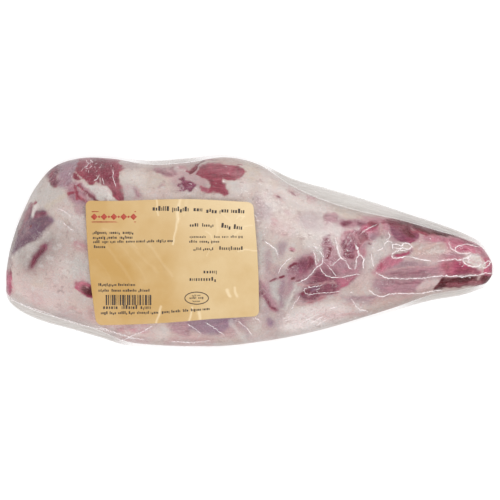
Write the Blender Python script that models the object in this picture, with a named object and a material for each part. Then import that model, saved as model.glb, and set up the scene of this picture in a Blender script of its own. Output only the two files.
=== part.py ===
"""Raw leg of lamb, vacuum-packed in clear shrink film, with a paper label stuck on its upper side.

The pack lies flat on a table, thigh at -X and shank at +X, and the label faces up (+Z). Units are metres.
The sealed bag is one closed solid out to the film: the leg's own form, and the thin rim where the upper
and lower film meet beyond the meat. The label is a separate thin sheet that follows the bag's upper side.
Run with: blender --background --python part.py
"""
import math

import bmesh
import bpy
from mathutils import Vector

MM = 0.001

# Driving sizes, in millimetres until they are scaled by MM.
FILM_RIM = 1.8          # thickness of the flat rim of doubled film
RIM_BLEND = 2.0         # radius with which the film leaves the meat and runs into the rim
UPPER_DOME = 2.2        # roundness of a section's upper side: 2 is an ellipse, more is squarer
LOWER_DOME = 3.2        # the same for the underside
STATIONS = 78           # cross-sections along the leg, without its two end points
HALF_RING = 22          # faces across the upper side, and across the lower side
WEB_STEPS = 2           # those of them that lie on the film beyond the meat, at each edge
LEAST_WEB = 0.15

LABEL_THICK = 0.4
LABEL_GAP = 0.35        # clearance between the label and the bag
LABEL_ROUND = 4.5       # radius of the label's corners
LABEL_CELLS = (26, 18)  # strips that the label bends in, along and across
LABEL_CORNERS = (       # where the label's corners lie in plan, from the upper left, clockwise
    (-111.4, 35.4),
    (2.4, 34.1),
    (6.5, -43.8),
    (-104.0, -49.9),
)

# The ribs that carry the form, from the cut thigh end to the shank end. Each rib runs across the pack:
# its ends in plan on the +Y and the -Y edge, the meat's highest and lowest level, the level of the film's
# rim, and how far the film reaches beyond the meat on each edge. A lowest level under 0 is pressed flat.
RIBS = (
    # +Y edge         -Y edge          crown  sole   rim   web+  web-
    ((-167.0, -21.8), (-167.0, -21.8), 20.0, 20.0, 20.0, 0.0, 0.0),
    ((-164.7, -3.2), (-165.3, -31.5), 36.0, 5.0, 20.0, 0.2, 2.0),
    ((-160.6, 12.4), (-159.5, -38.2), 45.0, 1.5, 20.5, 0.2, 3.9),
    ((-154.8, 27.5), (-149.9, -43.8), 50.0, -1.0, 21.0, 0.2, 4.9),
    ((-146.0, 44.6), (-137.2, -48.5), 54.0, -3.0, 21.5, 0.2, 5.1),
    ((-133.3, 58.5), (-120.6, -53.0), 56.5, -3.0, 22.0, 0.2, 5.1),
    ((-114.8, 64.3), (-102.1, -58.5), 58.5, -3.0, 22.5, 0.2, 4.5),
    ((-93.3, 64.1), (-84.5, -63.5), 60.0, -3.0, 22.5, 0.4, 2.0),
    ((-67.9, 62.0), (-64.0, -64.7), 60.5, -3.0, 22.5, 2.3, 0.6),
    ((-42.5, 63.5), (-40.6, -65.3), 60.5, -3.0, 22.5, 2.5, 0.4),
    ((-17.2, 65.3), (-17.2, -65.1), 59.5, -3.0, 22.0, 0.6, 0.4),
    ((6.3, 60.6), (6.3, -62.4), 56.5, -3.0, 21.0, 0.8, 0.4),
    ((27.7, 50.4), (27.7, -59.1), 51.5, -3.0, 20.0, 4.5, 0.6),
    ((51.2, 43.4), (51.2, -53.8), 45.5, -2.5, 18.5, 8.6, 1.0),
    ((76.5, 36.2), (75.6, -46.8), 39.5, -1.5, 17.0, 9.4, 2.0),
    ((101.9, 27.9), (100.0, -39.7), 36.0, 0.0, 15.5, 7.2, 3.3),
    ((127.3, 19.4), (123.4, -33.4), 33.0, 1.5, 14.5, 5.9, 5.3),
    ((146.8, 12.2), (143.9, -29.8), 29.0, 3.0, 13.5, 4.1, 4.9),
    ((157.5, 6.5), (155.6, -26.1), 25.0, 4.5, 13.0, 3.1, 2.9),
    ((163.8, -1.8), (162.8, -22.2), 19.5, 7.0, 12.5, 2.0, 1.8),
    ((167.0, -12.5), (167.0, -12.5), 12.5, 12.5, 12.5, 0.0, 0.0),
)

# Swellings and hollows of the upper side: place in plan, half sizes, turn in degrees and height.
FORMS = (
    ("rump muscle", (-105, 50), (20, 13), -10, 3.2),
    ("rump hollow", (-72, 48), (15, 12), 0, -2.8),
    ("cushion muscle", (-21, 50), (19, 9), -8, 3.4),
    ("flap fold", (-43, 56), (5, 9), -40, -2.4),
    ("fat strap", (-128, 32), (23, 8), -35, 2.2),
    ("aitch bone hollow", (-145, -3), (10, 4), 55, -2.2),
    ("thigh belly", (-58, -18), (44, 25), 0, 1.6),
    ("knee pit", (19, -30), (6, 15), 28, -3.2),
    ("knee pad", (24, 13), (20, 16), 0, 1.8),
    ("heel muscle", (49, -16), (24, 10), 22, 3.2),
    ("heel hollow", (82, -2), (7, 20), -12, -3.4),
    ("shank muscle", (108, -5), (21, 11), 4, 2.6),
    ("shank groove", (119, -17), (35, 3), 3, -1.4),
)


def spline(before, start, end, after, share):
    """Catmull-Rom value between start and end."""
    return 0.5 * (
        2 * start
        + (end - before) * share
        + (2 * before - 5 * start + 4 * end - after) * share**2
        + (3 * start - before - 3 * end + after) * share**3
    )


def edge_point(side, place):
    """A point of the pack's plan outline, at a rib number with a fraction, on the +Y edge (0) or the -Y edge (1)."""
    last = len(RIBS) - 1
    first = min(int(place), last - 1)

    def knot(number):
        # Past an end point the outline carries on round the other edge.
        if number < 0:
            return RIBS[-number][1 - side]
        if number > last:
            return RIBS[2 * last - number][1 - side]
        return RIBS[number][side]

    around = [knot(first + step) for step in (-1, 0, 1, 2)]
    share = place - first
    return tuple(spline(*(point[axis] for point in around), share) for axis in (0, 1))


def rib_value(column, place):
    """One of the ribs' levels or widths, between ribs. At the two end points it is mirrored, so it starts square."""
    last = len(RIBS) - 1
    first = min(int(place), last - 1)
    around = [RIBS[min(abs(first + step), last)][column] for step in (-1, 0, 1, 2)]
    return spline(*around, place - first)


def dome(across, power):
    """1 in the middle of the meat, 0 at its two edges, with a round shoulder."""
    return max(0.0, 1.0 - min(1.0, abs(across)) ** power) ** (1.0 / power)


def smooth_max(a, b, radius):
    """The larger of two levels, with a fillet where they cross."""
    near = max(radius - abs(a - b), 0.0) / radius
    return max(a, b) + near * near * radius / 4


def relief(x, y):
    """Height of the muscles' swellings and hollows at a place in plan."""
    total = 0.0
    for _, (cx, cy), (long, wide), turn, height in FORMS:
        cos, sin = math.cos(math.radians(turn)), math.sin(math.radians(turn))
        along = ((x - cx) * cos + (y - cy) * sin) / long
        across = ((y - cy) * cos - (x - cx) * sin) / wide
        total += height * math.exp(-(along * along + across * across))
    return total


def ring_share(step, chord, web_plus, web_minus):
    """How far across the pack a step of a ring lies, from the +Y edge: evenly over each web, and closer
    together towards the meat's two edges."""
    if step < WEB_STEPS:
        return web_plus / chord * step / WEB_STEPS
    if step > HALF_RING - WEB_STEPS:
        return 1 - web_minus / chord * (HALF_RING - step) / WEB_STEPS
    angle = math.pi * (step - WEB_STEPS) / (HALF_RING - 2 * WEB_STEPS)
    return (web_plus + (chord - web_plus - web_minus) * (1 - math.cos(angle)) / 2) / chord


def section_point(place, step):
    """A point of the bag's skin: step 0 is the +Y edge, HALF_RING the -Y edge, going over the upper side."""
    plus, minus = edge_point(0, place), edge_point(1, place)
    crown, sole, rim, web_plus, web_minus = (rib_value(column, place) for column in range(2, 7))
    chord = math.dist(plus, minus)
    web_plus, web_minus = (min(max(web, LEAST_WEB), 0.3 * chord) for web in (web_plus, web_minus))

    share = ring_share(min(step, 2 * HALF_RING - step), chord, web_plus, web_minus)
    x = plus[0] + (minus[0] - plus[0]) * share
    y = plus[1] + (minus[1] - plus[1]) * share
    half_meat = (chord - web_plus - web_minus) / 2
    across = (share * chord - web_plus - half_meat) / half_meat
    film = FILM_RIM / 2 * min(1.0, math.sqrt(chord * min(share, 1 - share) / FILM_RIM))

    if step in (0, HALF_RING):
        z = rim
    elif step < HALF_RING:
        arch = dome(across, UPPER_DOME)
        meat = rim + (crown - rim) * arch + relief(x, y) * arch
        z = smooth_max(meat, rim + film, RIM_BLEND)
    else:
        # The soft underside would reach below the table, so it is pressed flat there.
        meat = rim - (rim - sole) * dome(across, LOWER_DOME)
        z = max(0.0, -smooth_max(-meat, film - rim, RIM_BLEND))
    return Vector((x, y, z)) * MM


def principled(name, colour, roughness, coat=0.0):
    """A material of one colour, with a clear coat for film."""
    material = bpy.data.materials.new(name)
    material.use_nodes = True
    shader = material.node_tree.nodes["Principled BSDF"]
    shader.inputs["Base Color"].default_value = (*colour, 1.0)
    shader.inputs["Roughness"].default_value = roughness
    shader.inputs["Coat Weight"].default_value = coat
    shader.inputs["Coat Roughness"].default_value = 0.08
    return material


def add_object(name, mesh_builder, material):
    """A new object whose mesh is a finished bmesh, shaded smooth apart from its sharp edges."""
    mesh = bpy.data.meshes.new(name)
    mesh_builder.to_mesh(mesh)
    mesh_builder.free()
    mesh.materials.append(material)
    mesh.shade_smooth()
    mesh.set_sharp_from_angle(angle=math.radians(50))
    made = bpy.data.objects.new(name, mesh)
    bpy.context.scene.collection.objects.link(made)
    return made


def stations():
    """Rib numbers of the cross-sections: evenly spaced, and closer together towards the two round ends."""
    last = len(RIBS) - 1
    for number in range(1, STATIONS + 1):
        even = number / (STATIONS + 1)
        eased = (1 - math.cos(math.pi * even)) / 2
        yield last * (0.75 * even + 0.25 * eased)


def build_bag():
    """The bag's skin: rings of points round the leg, bridged to each other and closed to a point at each end."""
    builder = bmesh.new()
    ring_size = 2 * HALF_RING
    last = len(RIBS) - 1
    rings = []
    for place in stations():
        points = [builder.verts.new(section_point(place, step)) for step in range(ring_size)]
        edges = [
            builder.edges.new((points[step], points[(step + 1) % ring_size]))
            for step in range(ring_size)
        ]
        rings.append((points, edges))
    for (_, edges), (_, next_edges) in zip(rings, rings[1:]):
        bmesh.ops.bridge_loops(builder, edges=edges + next_edges)
    for place, (points, _) in ((0, rings[0]), (last, rings[-1])):
        x, y = RIBS[place][0]
        tip = builder.verts.new(Vector((x, y, RIBS[place][4])) * MM)
        for step in range(ring_size):
            builder.faces.new((points[step], points[(step + 1) % ring_size], tip))
    bmesh.ops.recalc_face_normals(builder, faces=builder.faces)
    return add_object("sealed_bag", builder, principled("packed_lamb", (0.66, 0.47, 0.46), 0.4, 1.0))


def label_plan(across, down):
    """Where a point of the flat label lies in plan, from its shares of the label's width and height."""
    upper_left, upper_right, lower_right, lower_left = LABEL_CORNERS
    return Vector([
        (upper_left[axis] * (1 - across) + upper_right[axis] * across) * (1 - down)
        + (lower_left[axis] * (1 - across) + lower_right[axis] * across) * down
        for axis in (0, 1)
    ])


def build_label(bag):
    """A flat rectangle with round corners, cut into strips, laid on the bag and given its thickness."""
    width = math.dist(LABEL_CORNERS[0], LABEL_CORNERS[1])
    height = math.dist(LABEL_CORNERS[1], LABEL_CORNERS[2])
    builder = bmesh.new()
    # Measured down from the upper left corner, so this order faces up once it is laid out in plan.
    corners = [builder.verts.new((x, y, 0)) for x, y in ((0, 0), (0, height), (width, height), (width, 0))]
    builder.faces.new(corners)
    bmesh.ops.bevel(builder, geom=corners, offset=LABEL_ROUND, segments=4, profile=0.5, affect="VERTICES")
    for axis, (size, cells) in enumerate(zip((width, height), LABEL_CELLS)):
        for cut in range(1, cells):
            place, normal = Vector((0, 0, 0)), Vector((0, 0, 0))
            place[axis], normal[axis] = size * cut / cells, 1
            whole = builder.verts[:] + builder.edges[:] + builder.faces[:]
            bmesh.ops.bisect_plane(builder, geom=whole, plane_co=place, plane_no=normal)
    above = 200.0
    for vertex in builder.verts:
        x, y = label_plan(vertex.co.x / width, vertex.co.y / height)
        vertex.co = Vector((x, y, above)) * MM
    label = add_object("label", builder, principled("label_paper", (0.80, 0.62, 0.33), 0.55))

    lay = label.modifiers.new("lay on the bag", "SHRINKWRAP")
    lay.target = bag
    lay.wrap_method = "PROJECT"
    lay.use_project_z = True
    lay.use_negative_direction = True
    lay.use_positive_direction = True
    lay.offset = LABEL_GAP * MM
    lay.wrap_mode = "ABOVE_SURFACE"
    thicken = label.modifiers.new("paper thickness", "SOLIDIFY")
    thicken.thickness = LABEL_THICK * MM
    thicken.offset = 1.0
    return label


def main():
    for leftover in list(bpy.data.objects):
        bpy.data.objects.remove(leftover)
    build_label(build_bag())


main()
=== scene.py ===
"""Looks of a raw leg of lamb in tight clear shrink film, with a yellow paper label on its upper side.

The pack lies flat, thigh at -X and shank at +X, label up. The frame's label part gives the span over which the paper's
colour changes, and the frame's bag and label parts are hidden under the pieces made here. This script makes the meat
inside the bag, the film over it, the creases in the film, the label with its printed marks, and a plain pale stage.
Lengths in the tables are in millimetres in plan, seen from above.
"""
import math
import random

import bmesh
import bpy
import numpy as np
from bpy.props import FloatProperty, FloatVectorProperty, IntProperty, PointerProperty
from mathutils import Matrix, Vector
from mathutils.bvhtree import BVHTree


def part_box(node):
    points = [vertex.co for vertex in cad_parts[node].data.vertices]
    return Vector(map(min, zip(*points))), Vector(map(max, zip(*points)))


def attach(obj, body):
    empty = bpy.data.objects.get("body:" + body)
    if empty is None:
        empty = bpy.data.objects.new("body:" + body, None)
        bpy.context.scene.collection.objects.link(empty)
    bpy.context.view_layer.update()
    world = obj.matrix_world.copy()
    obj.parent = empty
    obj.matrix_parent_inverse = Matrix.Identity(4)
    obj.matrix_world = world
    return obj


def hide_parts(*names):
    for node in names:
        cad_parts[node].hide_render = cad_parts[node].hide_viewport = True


bl_info = {
    "name": "Packed leg of lamb",
    "version": (1, 0, 0),
    "blender": (4, 5, 0),
    "location": "3D View > Sidebar > Lamb",
    "description": "Makes the meat, the shrink film and the label of a packed leg of lamb",
    "category": "Object",
}

MM = 0.001
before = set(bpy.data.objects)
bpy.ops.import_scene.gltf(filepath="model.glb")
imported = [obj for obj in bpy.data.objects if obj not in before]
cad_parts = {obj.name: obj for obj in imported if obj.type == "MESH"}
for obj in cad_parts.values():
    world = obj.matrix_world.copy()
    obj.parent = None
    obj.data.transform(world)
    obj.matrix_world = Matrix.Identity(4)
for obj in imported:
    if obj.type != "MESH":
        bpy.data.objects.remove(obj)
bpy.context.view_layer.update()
LABEL_LOW, LABEL_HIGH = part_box("label")


def tint(red, green, blue):
    """A colour as a scene holds it, from the 0 to 255 values a colour picker shows."""
    return tuple(
        (c / 12.92 if c <= 0.04045 else ((c + 0.055) / 1.055) ** 2.4)
        for c in (red / 255, green / 255, blue / 255)
    )


# ---------------------------------------------------------------------------------------------- the leg's form

# The ribs that carry the form, thigh to shank: the ends of each across the pack in plan, on the +Y and the -Y
# edge, then the meat's highest and lowest level, the level of the film's rim, and how far the film reaches
# beyond the meat on each edge. A lowest level under 0 is pressed flat on the table.
RIBS = np.array([
    (-167.0, -21.8, -167.0, -21.8, 20.0, 20.0, 20.0, 0.0, 0.0),
    (-164.7, -3.2, -165.3, -31.5, 36.0, 5.0, 20.0, 0.2, 2.0),
    (-160.6, 12.4, -159.5, -38.2, 45.0, 1.5, 20.5, 0.2, 3.9),
    (-154.8, 27.5, -149.9, -43.8, 50.0, -1.0, 21.0, 0.2, 4.9),
    (-146.0, 44.6, -137.2, -48.5, 54.0, -3.0, 21.5, 0.2, 5.1),
    (-133.3, 58.5, -120.6, -53.0, 56.5, -3.0, 22.0, 0.2, 5.1),
    (-114.8, 64.3, -102.1, -58.5, 58.5, -3.0, 22.5, 0.2, 4.5),
    (-93.3, 64.1, -84.5, -63.5, 60.0, -3.0, 22.5, 0.4, 2.0),
    (-67.9, 62.0, -64.0, -64.7, 60.5, -3.0, 22.5, 2.3, 0.6),
    (-42.5, 63.5, -40.6, -65.3, 60.5, -3.0, 22.5, 2.5, 0.4),
    (-17.2, 65.3, -17.2, -65.1, 59.5, -3.0, 22.0, 0.6, 0.4),
    (6.3, 60.6, 6.3, -62.4, 56.5, -3.0, 21.0, 0.8, 0.4),
    (27.7, 50.4, 27.7, -59.1, 51.5, -3.0, 20.0, 4.5, 0.6),
    (51.2, 43.4, 51.2, -53.8, 45.5, -2.5, 18.5, 8.2, 0.6),
    (76.5, 36.2, 75.6, -46.8, 39.5, -1.5, 17.0, 8.6, 0.8),
    (101.9, 27.9, 100.0, -39.7, 36.0, 0.0, 15.5, 5.6, 1.4),
    (127.3, 19.4, 123.4, -33.4, 33.0, 1.5, 14.5, 4.3, 3.3),
    (146.8, 12.2, 143.9, -29.8, 29.0, 3.0, 13.5, 2.8, 3.4),
    (157.5, 6.5, 155.6, -26.1, 25.0, 4.5, 13.0, 2.0, 2.2),
    (163.8, -1.8, 162.8, -22.2, 19.5, 7.0, 12.5, 1.2, 1.2),
    (167.0, -12.5, 167.0, -12.5, 12.5, 12.5, 12.5, 0.0, 0.0),
])
LAST_RIB = len(RIBS) - 1

# Swellings and hollows of the upper side: middle, half sizes, turn in degrees, height.
FORMS = (
    (-105, 50, 20, 13, -10, 3.2),   # rump muscle
    (-72, 48, 15, 12, 0, -2.8),     # rump hollow
    (-21, 50, 19, 9, -8, 3.4),      # cushion muscle
    (-43, 56, 5, 9, -40, -2.4),     # flap fold
    (-128, 32, 23, 8, -35, 2.2),    # fat strap
    (-145, -3, 10, 4, 55, -2.2),    # aitch bone hollow
    (-58, -18, 44, 25, 0, 1.6),     # thigh belly
    (19, -30, 6, 15, 28, -3.2),     # knee pit
    (24, 13, 20, 16, 0, 1.8),       # knee pad
    (49, -16, 24, 10, 22, 3.2),     # heel muscle
    (82, -2, 7, 20, -12, -3.4),     # heel hollow
    (108, -5, 21, 11, 4, 2.6),      # shank muscle
    (119, -17, 35, 3, 3, -1.4),     # shank groove
)
UPPER_DOME, LOWER_DOME = 2.2, 3.2   # roundness of a section above and below the rim
RIM_BLEND = 2.5                     # radius with which the film leaves the meat
UPPER_SHARE = 0.75                  # share of a ring's points that lies on the upper side


def knots():
    """The ribs with one more row at each end, where the outline carries on round the other edge."""
    first, last = RIBS[1].copy(), RIBS[-2].copy()
    first[:4], last[:4] = RIBS[1][[2, 3, 0, 1]], RIBS[-2][[2, 3, 0, 1]]
    return np.vstack([first, RIBS, last])


KNOTS = knots()


def ribs_at(place):
    """The nine rib values between ribs, on a smooth curve, for an array of rib numbers with fractions."""
    number = np.minimum(place.astype(int), LAST_RIB - 1)
    share = (place - number)[:, None]
    before, start, end, after = (KNOTS[number + step] for step in range(4))
    return 0.5 * (
        2 * start
        + (end - before) * share
        + (2 * before - 5 * start + 4 * end - after) * share**2
        + (3 * start - before - 3 * end + after) * share**3
    )


def evenly_along(share):
    """Rib numbers for shares of the leg's length, 0 at the thigh end and 1 at the shank end."""
    places = np.linspace(0, LAST_RIB, 2001)
    ribs = ribs_at(places)
    middle = (ribs[:, 0:2] + ribs[:, 2:4]) / 2
    width = np.hypot(*(ribs[:, 0:2] - ribs[:, 2:4]).T)
    steps = np.hypot(np.hypot(*np.diff(middle, axis=0).T), np.diff(width) / 2)
    length = np.concatenate([[0], np.cumsum(steps)])
    return np.interp(share * length[-1], length, places)


def dome(across, power):
    return np.maximum(0.0, 1.0 - np.minimum(1.0, np.abs(across)) ** power) ** (1.0 / power)


def smooth_max(a, b, radius):
    near = np.maximum(radius - np.abs(a - b), 0.0) / radius
    return np.maximum(a, b) + near * near * radius / 4


def relief(x, y):
    """Height of the swellings and hollows of the upper side at places in plan."""
    total = np.zeros_like(x)
    for cx, cy, long, wide, turn, height in FORMS:
        cos, sin = math.cos(math.radians(turn)), math.sin(math.radians(turn))
        along = ((x - cx) * cos + (y - cy) * sin) / long
        across = ((y - cy) * cos - (x - cx) * sin) / wide
        total += height * np.exp(-(along**2 + across**2))
    return total


def leg_surface(place, share, over):
    """Points of the bare meat's surface. share runs over the meat from its +Y edge (0) to its -Y edge (1), and
    over is True on the upper side. Gives the points and the width of the pack there."""
    ribs = ribs_at(place)
    chord = np.hypot(*(ribs[:, 0:2] - ribs[:, 2:4]).T)
    web_plus, web_minus = (np.minimum(np.maximum(ribs[:, k], 0.15), 0.3 * chord + 1e-6) for k in (7, 8))
    whole = (web_plus + (chord - web_plus - web_minus) * share) / np.maximum(chord, 1e-6)
    x, y = (ribs[:, k] + (ribs[:, k + 2] - ribs[:, k]) * whole for k in (0, 1))
    crown, sole, rim = ribs[:, 4], ribs[:, 5], ribs[:, 6]
    across = 2 * share - 1
    arch = dome(across, UPPER_DOME)
    upper = rim + (crown - rim + relief(x, y)) * arch
    lower = smooth_max(rim - (rim - sole) * dome(across, LOWER_DOME), 0 * rim, 2.0)
    return np.stack([x, y, np.where(over, upper, lower)], axis=1), chord


def film_surface(place, turn, over, rim_thick, web_part):
    """Points of the film drawn over the meat. turn runs from the pack's +Y edge (0) to its -Y edge (1), its first
    and last web_part over the film beyond the meat. Gives the points, how far each lies beyond the meat, and how
    far from the pack's edge."""
    ribs = ribs_at(place)
    chord = np.hypot(*(ribs[:, 0:2] - ribs[:, 2:4]).T)
    web_plus, web_minus = (np.minimum(np.maximum(ribs[:, k], 0.15), 0.3 * chord + 1e-6) for k in (7, 8))
    inside = np.clip((turn - web_part) / (1 - 2 * web_part), 0, 1)
    meat = (1 - np.cos(np.pi * inside)) / 2
    from_plus = web_plus + (chord - web_plus - web_minus) * meat
    from_plus = np.where(turn < web_part, web_plus * turn / web_part, from_plus)
    from_plus = np.where(turn > 1 - web_part, chord - web_minus * (1 - turn) / web_part, from_plus)
    whole = from_plus / np.maximum(chord, 1e-6)
    x, y = (ribs[:, k] + (ribs[:, k + 2] - ribs[:, k]) * whole for k in (0, 1))
    crown, sole, rim = ribs[:, 4], ribs[:, 5], ribs[:, 6]
    half = np.maximum((chord - web_plus - web_minus) / 2, 1e-6)
    across = np.clip((from_plus - web_plus) / half - 1, -1, 1)
    arch = dome(across, UPPER_DOME)
    from_edge = np.minimum(from_plus, chord - from_plus)
    film = rim_thick / 2 * np.minimum(1.0, np.sqrt(np.maximum(from_edge, 0) / rim_thick))
    upper = smooth_max(rim + (crown - rim + relief(x, y)) * arch, rim + film, RIM_BLEND)
    lower = -smooth_max((rim - sole) * dome(across, LOWER_DOME) - rim, film - rim, RIM_BLEND)
    level = np.where(over, upper, np.maximum(lower, 0.0))
    level = np.where(from_edge < 1e-4, rim, level)
    beyond = np.maximum(web_plus - from_plus, web_minus - (chord - from_plus))
    return np.stack([x, y, level], axis=1), beyond, from_edge


def ripple(points, size, seed, count=14):
    """A smooth wandering value from about -1 to 1 over points in millimetres, with bumps about size wide."""
    rng = np.random.default_rng(seed)
    total = np.zeros(len(points))
    for _ in range(count):
        way = rng.normal(size=points.shape[1])
        way *= 2 * math.pi / (size * rng.uniform(1.3, 3.2)) / np.linalg.norm(way)
        total += np.sin(points @ way + rng.uniform(0, 2 * math.pi))
    return total / math.sqrt(count / 2) / 1.6


def eased(value):
    value = np.clip(value, 0, 1)
    return value * value * (3 - 2 * value)


# ------------------------------------------------------------------------------------ what the meat looks like

# Tones of cut or bare flesh, which end in a torn edge against the fat. All other tones run softly into each other.
FLESH_TONES = ("lean", "lean_light", "lean_dark", "plum", "crimson", "maroon", "blood")
FIBRED_TONES = {"lilac": 0.5, "violet": 0.5, "mauve": 0.7, "skin": 0.4, "rose": 0.6, "dusky": 0.8, "tan": 0.2}

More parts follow.
